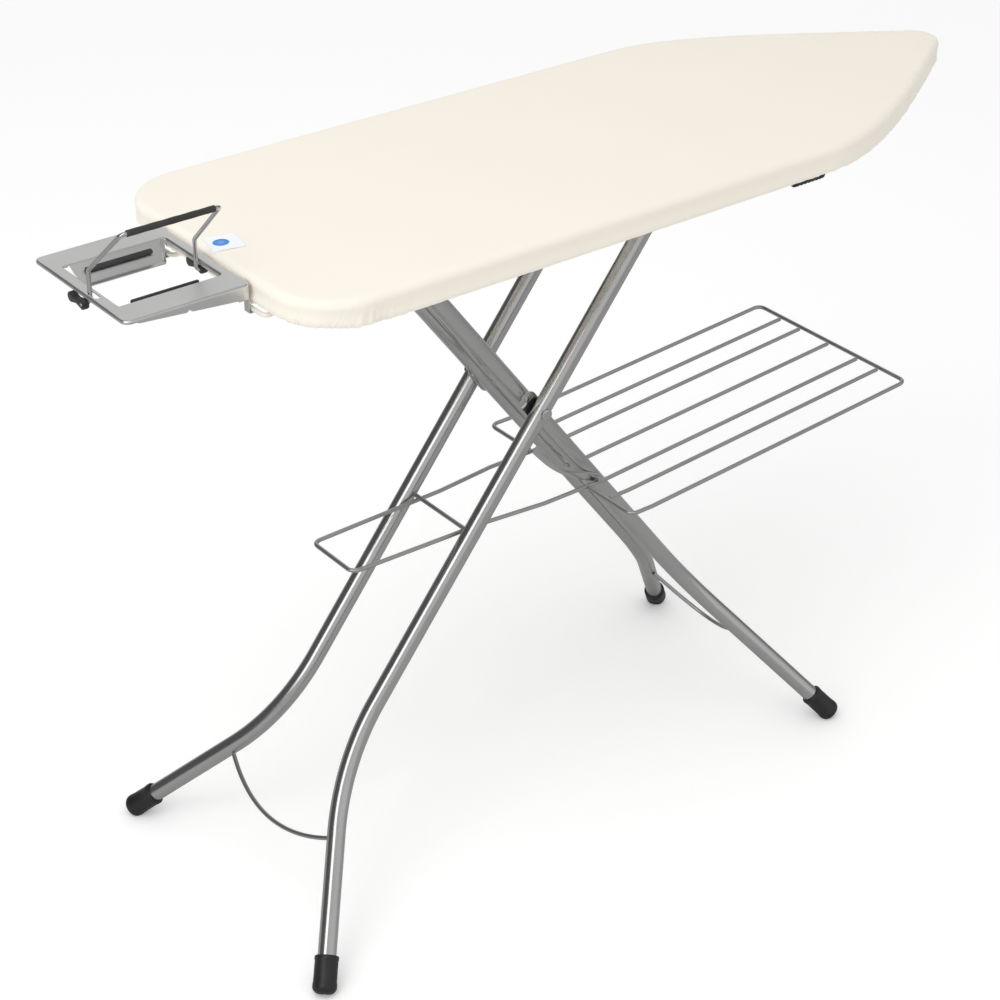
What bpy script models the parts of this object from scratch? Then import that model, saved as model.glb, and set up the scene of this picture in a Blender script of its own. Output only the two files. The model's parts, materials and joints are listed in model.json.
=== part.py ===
"""Folding ironing board with a wire linen rack and a hooked-on iron rest.

Metres, +Z up, floor at z = 0. +X runs from the square end to the nose, -Y is the near side.
Distances called *_X below are measured from the hub, where the two leg frames cross.
"""

import math

import bmesh
import bpy
from mathutils import Matrix, Quaternion, Vector

# Fits
GAP = 0.0003            # between faces that touch on the real object
BORE_PLAY = 0.00005     # radial, around a pin that turns
SMALL_EDGE = 0.001      # rounding on small parts

# Board
BOARD_HEIGHT = 0.985    # floor to ironing surface
BOARD_WIDTH = 0.450
BOARD_DEPTH = 0.038     # top of the cover to its hem
SQUARE_END_X = -0.463
NOSE_X = 0.786
CORNER_RADIUS = 0.087
NOSE_RADIUS = 0.035
NOSE_ARC = math.radians(58)
TAPER_X = 0.360         # where the straight sides end
TAPER_START_PULL = 0.110
TAPER_END_PULL = 0.160
COVER_THICKNESS = 0.0015
COVER_EDGE = 0.0045
HEM_WIDTH = 0.026
FOAM_THICKNESS = 0.007
PLATE_THICKNESS = 0.0012
RIM_RADIUS = 0.0120
RIM_PLAY = 0.0012       # to the cover, whose corners are coarser than the tube
RIB_WIDTH = 0.024
RIB_HEIGHT = 0.020
LABEL_SIZE = 0.041
LABEL_THICKNESS = 0.0005
LABEL_X = -0.436
LABEL_TURN = math.radians(-12)

# Leg frames
TUBE_RADIUS = 0.0125
HUB_HEIGHT = 0.6423
UPPER_ARM = 0.357       # hub to either top axle, equal so the board stays level
LEG_ANGLE = math.radians(37.6)
INNER_HALF_WIDTH = 0.0431
LEG_GAP = 0.0032        # between an inner tube and the outer tube beside it
BEND_RADIUS = 0.31
OUTER_SPLAY = math.radians(34.4)
INNER_SPLAY = math.radians(27.9)
OUTER_BEND_HEIGHT = 0.2075
INNER_BEND_HEIGHT = 0.2476
TOP_OVERHANG = 0.014    # tube above the axle
FOOT_RADIUS = 0.0165
FOOT_LENGTH = 0.050
FOOT_EDGE = 0.009
FOOT_LIP = 0.002
FOOT_FLAT = 0.0005
AXLE_RADIUS = 0.006
OUTER_AXLE_HALF = 0.118
INNER_AXLE_HALF = 0.084
BRACE_RADIUS = 0.003
OUTER_BRACE_HEIGHT = 0.1348
OUTER_BRACE_SAG = 0.034
INNER_BRACE_HEIGHT = 0.1535
INNER_BRACE_SAG = 0.073

# Hub
BOLT_RADIUS = 0.004
BOLT_HEAD_RADIUS = 0.0085
BOLT_HEAD_HEIGHT = 0.0035
BOLT_HEAD_EDGE = 0.0012
HUB_PLATE_LENGTH = 0.060
HUB_PLATE_WIDTH = 0.028
HUB_PLATE_THICKNESS = 0.0015
BOSS_SPACING = 0.042
BOSS_RADIUS = 0.0045
BOSS_HEIGHT = 0.0008
WASHER_RADIUS = 0.0145

# Linen rack
WIRE_RADIUS = 0.003
RACK_ARM = 0.189        # hub to the rack's hinge, and hub to the cross brace
RACK_START_X = 0.096
RACK_END_X = 0.632
RACK_RISE_X = 0.135     # where the grid starts to rise
RACK_RISE = 0.035
RACK_HALF_WIDTH = 0.1565
RACK_MID_WIRE = 0.104
RACK_CORNER = 0.012
LOOP_END_X = -0.293
LOOP_HALF_WIDTH = 0.0615
LOOP_END_HALF_WIDTH = 0.046
LOOP_TAPER = 0.006
LOOP_NECK_START_X = 0.020
LOOP_NECK_END_X = -0.075
HINGE_ROD_RADIUS = 0.003
HINGE_ROD_HALF = 0.068

# Safety strap
STRAP_LENGTH = 0.140
STRAP_WIDTH = 0.013
STRAP_THICKNESS = 0.0014
STRAP_BOW = 0.010
STRAP_ANGLE = math.radians(143)

# Hinge brackets and slide track under the board
BRACKET_WIDTH = 0.030
BRACKET_THICKNESS = 0.003
BRACKET_HALF_SPACING = 0.074
TRACK_LENGTH = 0.330
TRACK_WALL = 0.0016
TRACK_START_X = 0.192
GLIDE_RADIUS = 0.008
GLIDE_LENGTH = 0.012
GLIDE_PLAY = 0.0005
TRACK_DEPTH = 0.011

# Height lever
LEVER_X = 0.300
LEVER_HEIGHT = 0.9490
LEVER_HOLE_PLAY = 0.0005
LEVER_ROD_RADIUS = 0.003
LEVER_DROP = 0.026
LEVER_REACH = 0.175
LEVER_TAIL = 0.012
LEVER_BEND = 0.006
CATCH_THICKNESS = 0.004
CATCH_EYE_RADIUS = 0.008
CATCH_AXLE_GAP = 0.004  # under its tooth while it is released
CATCH_TOOTH_GAP = 0.0022
CATCH_TOOTH_WIDTH = 0.010
CATCH_TOOTH_SLOPE = 0.006
GRIP_RADIUS = 0.0075
GRIP_LENGTH = 0.066
GRIP_WALL = 0.004
GRIP_EDGE = 0.002

# Iron rest
REST_HEIGHT = 0.980     # floor to the top of its rails
REST_END_X = -0.634
REST_END_GAP = 0.0025
REST_WIDTH = 0.210
REST_SHEET = 0.0015
REST_RAIL = 0.040
REST_STRIP = 0.0150
REST_CORNER = 0.010
SKIRT_DEPTH = 0.019
SKIRT_TIP_DEPTH = 0.003
SKIRT_NOTCH = 0.004
PANEL_DROP = 0.021
PANEL_RUN = 0.028
PANEL_LIP = 0.005
PANEL_MARGIN = 0.012
PANEL_OVERLAP = 0.004   # of its fold with the rail
PANEL_BEND = 0.0015
STRIP_FLANGE = 0.0044
FLANGE_INSET = 0.0002
FLANGE_END_GAP = 0.004
RUBBER_LENGTH = 0.090
RUBBER_WIDTH = 0.007
RUBBER_HEIGHT = 0.0050
BAIL_RADIUS = 0.0027
BAIL_Y = -0.014
BAIL_AXIS_DROP = 0.012
BAIL_UPRIGHT = 0.040
BAIL_LEAN = 0.071
BAIL_RISE = 0.068
BAIL_TAPER = 0.006
BAIL_INSET = 0.0080     # from the rest's outer edge to the wire
BAIL_FOOT = 0.0130
BAIL_BEND = 0.0045
SLEEVE_RADIUS = 0.0040
SLEEVE_MARGIN = 0.007
BAIL_SLOT_LENGTH = 0.023
BAIL_SLOT_PLAY = 0.0012
CLIP_RADIUS = 0.0065
CLIP_LENGTH = 0.038
CLIP_WIDTH = 0.008
CLIP_WAIST = 0.0043
CARRIER_RADIUS = 0.003
CARRIER_END_INSET = 0.002
CARRIER_RISE_INSET = 0.036
CARRIER_RIB_INSET = 0.080
CARRIER_FLAT = 0.020
CARRIER_BEND = 0.007
CARRIER_Y = 0.1015
CARRIER_HALF_WIDTH = 0.0205
HOOK_WIDTH = 0.010
HOOK_Y = 0.0935
HOOK_SHEET = 0.0015
HOOK_PLAY = 0.0008
HOOK_LIP_DROP = 0.001

# Worked out from the values above
LOW_END_X = REST_END_X + BAIL_INSET - BAIL_FOOT
CENTRE_SHIFT = -(LOW_END_X + NOSE_X) / 2
HUB = Vector((CENTRE_SHIFT, 0, HUB_HEIGHT))
OUTER_HALF_WIDTH = INNER_HALF_WIDTH + 2 * TUBE_RADIUS + LEG_GAP
AXLE_HEIGHT = HUB_HEIGHT + UPPER_ARM * math.cos(LEG_ANGLE)
AXLE_X = UPPER_ARM * math.sin(LEG_ANGLE)
HALF_WIDTH = BOARD_WIDTH / 2
HEM_HEIGHT = BOARD_HEIGHT - BOARD_DEPTH
FOAM_EDGE = COVER_EDGE - COVER_THICKNESS
FOAM_TOP = BOARD_HEIGHT - COVER_THICKNESS - GAP
PLATE_TOP = FOAM_TOP - FOAM_THICKNESS - GAP
PLATE_BOTTOM = PLATE_TOP - PLATE_THICKNESS
RIM_INSET = COVER_THICKNESS + RIM_PLAY + RIM_RADIUS
RACK_AXIS = HUB + RACK_ARM * Vector((math.sin(LEG_ANGLE), 0, -math.cos(LEG_ANGLE)))
BRACE_AXIS = HUB + RACK_ARM * Vector((-math.sin(LEG_ANGLE), 0, -math.cos(LEG_ANGLE)))
RACK_HEIGHT = RACK_AXIS.z - WIRE_RADIUS - HINGE_ROD_RADIUS - GAP
REST_START_X = SQUARE_END_X - REST_END_GAP
REST_MIDDLE_X = (REST_START_X + REST_END_X) / 2
BAIL_AXIS_HEIGHT = REST_HEIGHT - BAIL_AXIS_DROP

SIDES = {"near": -1, "far": 1}
YZ_PLANE = Matrix(((0, 0, 1, 0), (1, 0, 0, 0), (0, 1, 0, 0), (0, 0, 0, 1)))
XZ_PLANE = Matrix.Rotation(math.pi / 2, 4, "X")


# ---------------------------------------------------------------- scene and materials


def clear_scene():
    for obj in list(bpy.data.objects):
        bpy.data.objects.remove(obj, do_unlink=True)
    for collection in list(bpy.data.collections):
        bpy.data.collections.remove(collection)


def new_collection(name, hidden=False):
    collection = bpy.data.collections.new(name)
    collection.hide_render = hidden
    bpy.context.scene.collection.children.link(collection)
    return collection


def material(name, colour, roughness, metallic=0.0):
    made = bpy.data.materials.get(name) or bpy.data.materials.new(name)
    made.use_nodes = True
    shader = made.node_tree.nodes["Principled BSDF"]
    shader.inputs["Base Color"].default_value = (*colour, 1)
    shader.inputs["Roughness"].default_value = roughness
    shader.inputs["Metallic"].default_value = metallic
    made.diffuse_color = (*colour, 1)
    return made


def steel():
    return material("satin_steel", (0.62, 0.62, 0.61), 0.3, 1.0)


def wire_steel():
    return material("wire_steel", (0.45, 0.45, 0.45), 0.35, 1.0)


def cream_paint():
    return material("cream_paint", (0.86, 0.83, 0.75), 0.45)


def black_rubber():
    return material("black_rubber", (0.02, 0.02, 0.02), 0.6)


def black_plastic():
    return material("black_plastic", (0.03, 0.03, 0.03), 0.4)


def cotton():
    return material("ecru_cotton", (0.93, 0.89, 0.80), 0.9)


def foam():
    return material("foam", (0.75, 0.76, 0.74), 0.95)


def label_white():
    return material("label_white", (0.90, 0.91, 0.93), 0.6)


def body_empty(name, place):
    """An empty on a body's joint axis, which the body's pieces follow."""
    empty = bpy.data.objects.new(name, None)
    empty.location = place
    empty.empty_display_size = 0.03
    PARTS.objects.link(empty)
    return empty


def add(obj, body, surface):
    obj.data.materials.append(surface)
    PARTS.objects.link(obj)
    bpy.context.view_layer.update()
    if body:
        obj.parent = body
        obj.matrix_parent_inverse = body.matrix_world.inverted()
    return obj


# ---------------------------------------------------------------- shapes


def poly_curve(name, points, dimensions="3D", closed=False):
    curve = bpy.data.curves.new(name, "CURVE")
    curve.dimensions = dimensions
    spline = curve.splines.new("POLY")
    spline.points.add(len(points) - 1)
    for target, point in zip(spline.points, points):
        target.co = (*Vector(point).to_3d(), 1)
    spline.use_cyclic_u = closed
    return bpy.data.objects.new(name, curve)


def rod(name, points, radius, body, surface, closed=False, rings=2):
    """A round wire or tube along a path."""
    obj = poly_curve(name, points, closed=closed)
    obj.data.bevel_depth = radius
    obj.data.bevel_resolution = rings
    obj.data.use_fill_caps = True
    return add(obj, body, surface)


def extruded(name, outline, thickness, matrix, body, surface, edge=0.0):
    """A flat outline, filled and made thick both ways from its own plane."""
    obj = poly_curve(name, outline, "2D", closed=True)
    obj.data.fill_mode = "BOTH"
    obj.data.extrude = thickness / 2 - edge
    obj.data.bevel_depth = edge
    obj.data.bevel_resolution = 2
    obj.matrix_world = matrix
    return add(obj, body, surface)


def turned(name, profile, matrix, body, surface, steps=24, ring=False):
    """A profile of (radius, height) points turned about the local Z axis."""
    mesh = bpy.data.meshes.new(name)
    points = [(radius, 0, height) for radius, height in profile]
    pairs = zip(profile, profile[1:] + profile[:1])
    if sum(a[0] * b[1] - b[0] * a[1] for a, b in pairs) > 0:
        points.reverse()
    edges = [(i, i + 1) for i in range(len(points) - 1)]
    if ring:
        edges.append((len(points) - 1, 0))
    mesh.from_pydata(points, edges, [])
    obj = bpy.data.objects.new(name, mesh)
    obj.matrix_world = matrix
    screw = obj.modifiers.new("turn", "SCREW")
    screw.steps = steps
    screw.render_steps = steps
    screw.use_merge_vertices = True
    screw.merge_threshold = 0.00001
    return add(obj, body, surface)


def box(name, low, high, body, surface, edge=0.0):
    made = bmesh.new()
    bmesh.ops.create_cube(made, size=1)
    size = Vector(high) - Vector(low)
    middle = (Vector(high) + Vector(low)) / 2
    bmesh.ops.scale(made, vec=size, verts=made.verts)
    mesh = bpy.data.meshes.new(name)
    made.to_mesh(mesh)
    made.free()
    obj = bpy.data.objects.new(name, mesh)
    obj.location = middle
    if edge:
        bevel = obj.modifiers.new("edges", "BEVEL")
        bevel.width = edge
        bevel.segments = 2
    return add(obj, body, surface)


def as_mesh(obj):
    """The same object as a welded mesh, so that it can be cut or joined."""
    bpy.context.view_layer.update()
    graph = bpy.context.evaluated_depsgraph_get()
    mesh = bpy.data.meshes.new_from_object(obj.evaluated_get(graph))
    welded = bmesh.new()
    welded.from_mesh(mesh)
    bmesh.ops.remove_doubles(welded, verts=welded.verts, dist=0.00001)
    bmesh.ops.recalc_face_normals(welded, faces=welded.faces)
    welded.to_mesh(mesh)
    welded.free()
    name, matrix, body = obj.name, obj.matrix_world.copy(), obj.parent
    surface = obj.data.materials[0]
    old = obj.data
    bpy.data.objects.remove(obj)
    if isinstance(old, bpy.types.Curve):
        bpy.data.curves.remove(old)
    made = bpy.data.objects.new(name, mesh)
    made.matrix_world = matrix
    mesh.materials.clear()
    return add(made, body, surface)


def boolean(obj, other, operation):
    """Cuts or joins a mesh with a helper, which moves to the cutters' collection."""
    modifier = obj.modifiers.new(other.name, "BOOLEAN")
    modifier.operation = operation
    modifier.solver = "EXACT"
    modifier.object = other
    for collection in list(other.users_collection):
        collection.objects.unlink(other)
    CUTTERS.objects.link(other)
    other.hide_render = True
    other.display_type = "WIRE"


def along(start, direction):
    """A matrix with its Z axis along a direction."""
    turn = Vector((0, 0, 1)).rotation_difference(Vector(direction))
    return Matrix.Translation(start) @ turn.to_matrix().to_4x4()


def drill(obj, place, direction, radius, length):
    """A round hole centred on a point of a mesh object."""
    profile = [(0, length / 2), (radius, length / 2), (radius, -length / 2), (0, -length / 2)]
    name = f"{obj.name}_bore_{len(obj.modifiers)}"
    cutter = turned(name, profile, along(place, direction), None, steel())
    boolean(obj, as_mesh(cutter), "DIFFERENCE")


def arc(centre, radius, start, end, count):
    """Points on a circle in the XY plane, both ends included."""
    steps = [start + (end - start) * i / count for i in range(count + 1)]
    return [(centre[0] + radius * math.cos(a), centre[1] + radius * math.sin(a)) for a in steps]


def bezier(start, pull, push, end, count):
    """Points on a cubic curve, both ends left out."""
    points = []
    for i in range(1, count):
        t = i / count
        s = 1 - t
        parts = zip((start, pull, push, end), (s**3, 3 * s * s * t, 3 * s * t * t, t**3))
        points.append(sum((Vector(p) * w for p, w in parts), Vector((0, 0))))
    return points


def rounded_path(points, radius, count=4):
    """A path with each inner corner replaced by a round bend."""
    path = [Vector(points[0])]
    for before, corner, after in zip(points, points[1:], points[2:]):
        corner = Vector(corner)
        first = (Vector(before) - corner).normalized()
        last = (Vector(after) - corner).normalized()
        half = first.angle(last) / 2
        reach = radius / math.tan(half)
        middle = corner + (first + last).normalized() * radius / math.sin(half)
        start = corner + first * reach - middle
        end = corner + last * reach - middle
        turn = start.rotation_difference(end)
        for i in range(count + 1):
            share = Quaternion().slerp(turn, i / count)
            path.append(middle + share @ start)
    path.append(Vector(points[-1]))
    return path


def sheet_outline(centre_line, thickness):
    """The outline of a folded sheet whose middle follows a 2D line."""
    line = [Vector(point) for point in centre_line]
    sides = []
    for i, point in enumerate(line):
        before = (point - line[i - 1]).normalized() if i else None
        after = (line[i + 1] - point).normalized() if i + 1 < len(line) else None
        before = before or after
        after = after or before
        normal = Vector((-(before + after).y, (before + after).x)).normalized()
        reach = thickness / 2 / normal.dot(Vector((-after.y, after.x)))
        sides.append((point + normal * reach, point - normal * reach))
    return [a for a, b in sides] + [b for a, b in reversed(sides)]


# ---------------------------------------------------------------- board


def board_outline(inset=0.0):
    """The board's outline moved inwards by an inset, anticlockwise from the nose tip."""
    nose = (NOSE_X - NOSE_RADIUS, 0)
    tip = arc(nose, NOSE_RADIUS - inset, 0, NOSE_ARC, 6)
    join = Vector(tip[-1])
    along_side = Vector((-math.sin(NOSE_ARC), math.cos(NOSE_ARC)))
    side = Vector((TAPER_X, HALF_WIDTH - inset))
    pull = join + along_side * TAPER_END_PULL
    push = side + Vector((TAPER_START_PULL, 0))
    taper = bezier(join, pull, push, side, 14)
    corner_at = (SQUARE_END_X + CORNER_RADIUS, HALF_WIDTH - CORNER_RADIUS)
    corner = arc(corner_at, CORNER_RADIUS - inset, math.pi / 2, math.pi, 10)
    half = [tuple(p) for p in (*tip, *taper, side, *corner)]
    other = [(x, -y) for x, y in reversed(half[1:])]
    return half + other


def at_height(middle):
    return Matrix.Translation((CENTRE_SHIFT, 0, middle))


def board_slab(name, inset, bottom, top, body, surface, edge=0.0):
    outline = board_outline(inset + edge)
    return extruded(name, outline, top - bottom, at_height((top + bottom) / 2), body, surface, edge)


def make_cover(board):
    cover = as_mesh(board_slab("cover", 0, HEM_HEIGHT, BOARD_HEIGHT, board, cotton(), COVER_EDGE))
    low = HEM_HEIGHT + COVER_THICKNESS
    high = BOARD_HEIGHT - COVER_THICKNESS
    inside = board_slab("cover_inside", COVER_THICKNESS, low, high, None, cotton(), FOAM_EDGE)
    boolean(cover, as_mesh(inside), "DIFFERENCE")
    below = HEM_HEIGHT - COVER_EDGE
    opening = board_slab("cover_opening", HEM_WIDTH, below, low + COVER_EDGE, None, cotton())
    boolean(cover, as_mesh(opening), "DIFFERENCE")


def make_board(board):
    make_cover(board)
    inset = COVER_THICKNESS + GAP
    board_slab("foam_pad", inset, FOAM_TOP - FOAM_THICKNESS, FOAM_TOP, board, foam(), FOAM_EDGE)
    board_slab("ironing_plate", inset, PLATE_BOTTOM, PLATE_TOP, board, cream_paint())
    rim_height = PLATE_BOTTOM - GAP - RIM_RADIUS
    rim = [(x + CENTRE_SHIFT, y, rim_height) for x, y in board_outline(RIM_INSET)]
    rod("rim_tube", rim, RIM_RADIUS, board, cream_paint(), closed=True)
    rib_top = PLATE_BOTTOM - GAP
    ribs = {
        "carrier_rib": SQUARE_END_X + CARRIER_RIB_INSET,
        "hinge_rib": -AXLE_X,
        "track_rib_start": TRACK_START_X + RIB_WIDTH / 2,
        "track_rib_end": TRACK_START_X + TRACK_LENGTH - RIB_WIDTH / 2,
    }
    for name, middle in ribs.items():
        at = CENTRE_SHIFT + middle
        reach = rib_reach(middle)
        low = (at - RIB_WIDTH / 2, -reach, rib_top - RIB_HEIGHT)
        high = (at + RIB_WIDTH / 2, reach, rib_top)
        box(name, low, high, board, cream_paint(), SMALL_EDGE)


def rib_reach(x):
    """How far a rib reaches on each side, up to the rim tube at the nearer of its two edges."""
    rim = [Vector(p) for p in board_outline(RIM_INSET + RIM_RADIUS + RIM_PLAY)]
    reach = HALF_WIDTH
    for a, b in zip(rim, rim[1:] + rim[:1]):
        for at in (x - RIB_WIDTH / 2, x + RIB_WIDTH / 2):
            if min(a.x, b.x) <= at <= max(a.x, b.x) and a.x != b.x:
                reach = min(reach, abs(a.lerp(b, (at - a.x) / (b.x - a.x)).y))
    return reach


def make_label(board):
    height = BOARD_HEIGHT + GAP + LABEL_THICKNESS / 2
    half = LABEL_SIZE / 2
    corners = [(-half, -half), (half, -half), (half, half), (-half, half)]
    place = Matrix.Translation((CENTRE_SHIFT + LABEL_X, 0, height))
    turn = Matrix.Rotation(LABEL_TURN, 4, "Z")
    extruded("care_label", corners, LABEL_THICKNESS, place @ turn, board, label_white())


def make_hinge_brackets(board):
    """Two plates under the hinge rib that hold the inner frame's top axle."""
    top = PLATE_BOTTOM - RIB_HEIGHT - 2 * GAP
    half = BRACKET_WIDTH / 2
    lower = arc((0, AXLE_HEIGHT), half, math.pi, 2 * math.pi, 10)
    outline = [(half, top), (-half, top), *lower]
    for side, sign in SIDES.items():
        centre = sign * (BRACKET_HALF_SPACING + BRACKET_THICKNESS / 2)
        at = (CENTRE_SHIFT - AXLE_X, centre, 0)
        matrix = Matrix.Translation(at) @ XZ_PLANE
        name = f"hinge_bracket_{side}"
        plate = as_mesh(extruded(name, outline, BRACKET_THICKNESS, matrix, board, cream_paint()))
        bore = (at[0], centre, AXLE_HEIGHT)
        drill(plate, bore, (0, 1, 0), AXLE_RADIUS + BORE_PLAY, 4 * BRACKET_THICKNESS)


def make_tracks(board):
    """C-shaped rails, open inwards, that the outer frame's glides run in."""
    half = GLIDE_RADIUS + GLIDE_PLAY + TRACK_WALL / 2
    back = OUTER_AXLE_HALF + GLIDE_PLAY + TRACK_WALL / 2
    mouth = back - TRACK_DEPTH
    top = PLATE_BOTTOM - RIB_HEIGHT - 2 * GAP
    line = [(mouth, -half), (back, -half), (back, half), (mouth, half), (mouth, top - AXLE_HEIGHT)]
    middle = CENTRE_SHIFT + TRACK_START_X + TRACK_LENGTH / 2
    for side, sign in SIDES.items():
        outline = sheet_outline([(sign * y, z) for y, z in line], TRACK_WALL)
        matrix = Matrix.Translation((middle, 0, AXLE_HEIGHT)) @ YZ_PLANE
        name = f"track_{side}"
        track = as_mesh(extruded(name, outline, TRACK_LENGTH, matrix, board, cream_paint()))
        if side == "near":
            at = (CENTRE_SHIFT + LEVER_X, -back, LEVER_HEIGHT)
            drill(track, at, (0, 1, 0), LEVER_ROD_RADIUS + LEVER_HOLE_PLAY, 4 * TRACK_DEPTH)


# ---------------------------------------------------------------- leg frames


def leg_path(direction, half_width, splay, bend_height, sign):
    """A tube's middle line: straight from above its axle, a wide bend, then splayed to the foot.

    direction is +1 for the frame whose feet stand towards the nose.
    """
    down = Vector((direction * math.sin(LEG_ANGLE), 0, -math.cos(LEG_ANGLE)))
    out = Vector((0, sign, 0))
    start = HUB + out * half_width - down * (UPPER_ARM + TOP_OVERHANG)
    bend = (HUB_HEIGHT - bend_height) / math.cos(LEG_ANGLE)
    reach = BEND_RADIUS * math.tan(splay / 2)
    corner = HUB + out * half_width + down * bend
    lower = down * math.cos(splay) + out * math.sin(splay)
    length = (corner.z - FOOT_RADIUS + FOOT_FLAT) / -lower.z
    path = [start]
    for i in range(9):
        turn = splay * i / 8
        ahead = BEND_RADIUS * math.sin(turn) - reach
        aside = BEND_RADIUS * (1 - math.cos(turn))
        path.append(corner + down * ahead + out * aside)
    path.append(corner + lower * length)
    return path


def make_foot(name, path, body):
    """A rubber cap over a tube's end, with a flat where it stands on the floor."""
    end, before = path[-1], path[-2]
    inner = TUBE_RADIUS + GAP
    tip = FOOT_RADIUS - FOOT_EDGE
    rounding = arc((tip, -tip), FOOT_EDGE, -math.pi / 2, 0, 4)
    profile = [(0, -FOOT_RADIUS), *rounding]
    collar = FOOT_LENGTH - FOOT_RADIUS
    profile += [(FOOT_RADIUS, 0), (FOOT_RADIUS, collar - FOOT_LIP)]
    profile += [(FOOT_RADIUS - FOOT_LIP, collar)]
    profile += [(inner, collar), (inner, -GAP), (0, -GAP)]
    matrix = along(end, before - end)
    foot = as_mesh(turned(name, profile, matrix, body, black_rubber()))
    size = 4 * FOOT_RADIUS
    low = (end.x - size, end.y - size, -size)
    floor = box(f"{name}_floor", low, (end.x + size, end.y + size, 0), None, steel())
    boolean(foot, floor, "DIFFERENCE")


def make_frame_pair(frame, direction, half_width, splay, bend_height, body):
    """The two tubes and feet of one leg frame. Returns the tubes by side."""
    tubes = {}
    for side, sign in SIDES.items():
        path = leg_path(direction, half_width, splay, bend_height, sign)
        name = f"{frame}_leg_{side}"
        tubes[side] = as_mesh(rod(name, path, TUBE_RADIUS, body, steel(), rings=4))
        make_foot(f"{frame}_foot_{side}", path, body)
        through = (HUB.x, sign * half_width, HUB.z)
        drill(tubes[side], through, (0, 1, 0), BOLT_RADIUS + BORE_PLAY, 4 * TUBE_RADIUS)
        axle = (HUB.x - direction * AXLE_X, sign * half_width, AXLE_HEIGHT)
        drill(tubes[side], axle, (0, 1, 0), AXLE_RADIUS + BORE_PLAY, 4 * TUBE_RADIUS)
    return tubes


def curved_brace(name, direction, half_width, splay, bend_height, height, sag, body):
    """A wire between two tubes' inner faces that dips as a parabola in the frame's own plane."""
    corner = (bend_height - height) / math.cos(LEG_ANGLE)
    half = half_width + corner * math.tan(splay) - TUBE_RADIUS / math.cos(splay) - BRACE_RADIUS
    down = Vector((direction * math.sin(LEG_ANGLE), 0, -math.cos(LEG_ANGLE)))
    middle = HUB + down * (HUB_HEIGHT - height) / math.cos(LEG_ANGLE)
    path = []
    for i in range(17):
        share = i / 8 - 1
        dip = sag * (1 - share**2)
        path.append(middle + Vector((0, share * half, 0)) + down * dip)
    return rod(name, path, BRACE_RADIUS, body, wire_steel())


def make_outer_frame(body):
    tubes = make_frame_pair("outer", -1, OUTER_HALF_WIDTH, OUTER_SPLAY, OUTER_BEND_HEIGHT, body)
    axle = (HUB.x + AXLE_X, 0, AXLE_HEIGHT)
    ends = [(axle[0], s * (OUTER_AXLE_HALF - GLIDE_PLAY), AXLE_HEIGHT) for s in SIDES.values()]
    rod("outer_top_axle", ends, AXLE_RADIUS, body, steel(), rings=4)
    inner = AXLE_RADIUS + BORE_PLAY
    ring = [(inner, 0), (GLIDE_RADIUS, 0), (GLIDE_RADIUS, GLIDE_LENGTH), (inner, GLIDE_LENGTH)]
    for side, sign in SIDES.items():
        start = (axle[0], sign * (OUTER_AXLE_HALF - GLIDE_LENGTH - GAP), AXLE_HEIGHT)
        matrix = along(start, (0, sign, 0))
        turned(f"glide_{side}", ring, matrix, body, black_plastic(), ring=True)
    half = OUTER_HALF_WIDTH - TUBE_RADIUS - GAP
    ends = [(BRACE_AXIS.x, sign * half, BRACE_AXIS.z) for sign in SIDES.values()]
    rod("cross_brace", ends, BRACE_RADIUS, body, wire_steel(), rings=3)
    size = OUTER_HALF_WIDTH, OUTER_SPLAY, OUTER_BEND_HEIGHT, OUTER_BRACE_HEIGHT, OUTER_BRACE_SAG
    curved_brace("outer_lower_brace", -1, *size, body)
    return tubes


def make_inner_frame(body):
    tubes = make_frame_pair("inner", 1, INNER_HALF_WIDTH, INNER_SPLAY, INNER_BEND_HEIGHT, body)
    for side, sign in SIDES.items():
        through = (RACK_AXIS.x, sign * INNER_HALF_WIDTH, RACK_AXIS.z)
        radius = HINGE_ROD_RADIUS + BORE_PLAY
        drill(tubes[side], through, (0, 1, 0), radius, 4 * TUBE_RADIUS)
    ends = [(HUB.x - AXLE_X, sign * INNER_AXLE_HALF, AXLE_HEIGHT) for sign in SIDES.values()]
    rod("inner_top_axle", ends, AXLE_RADIUS, body, steel(), rings=4)
    size = INNER_HALF_WIDTH, INNER_SPLAY, INNER_BEND_HEIGHT, INNER_BRACE_HEIGHT, INNER_BRACE_SAG
    curved_brace("inner_lower_brace", 1, *size, body)


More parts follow.
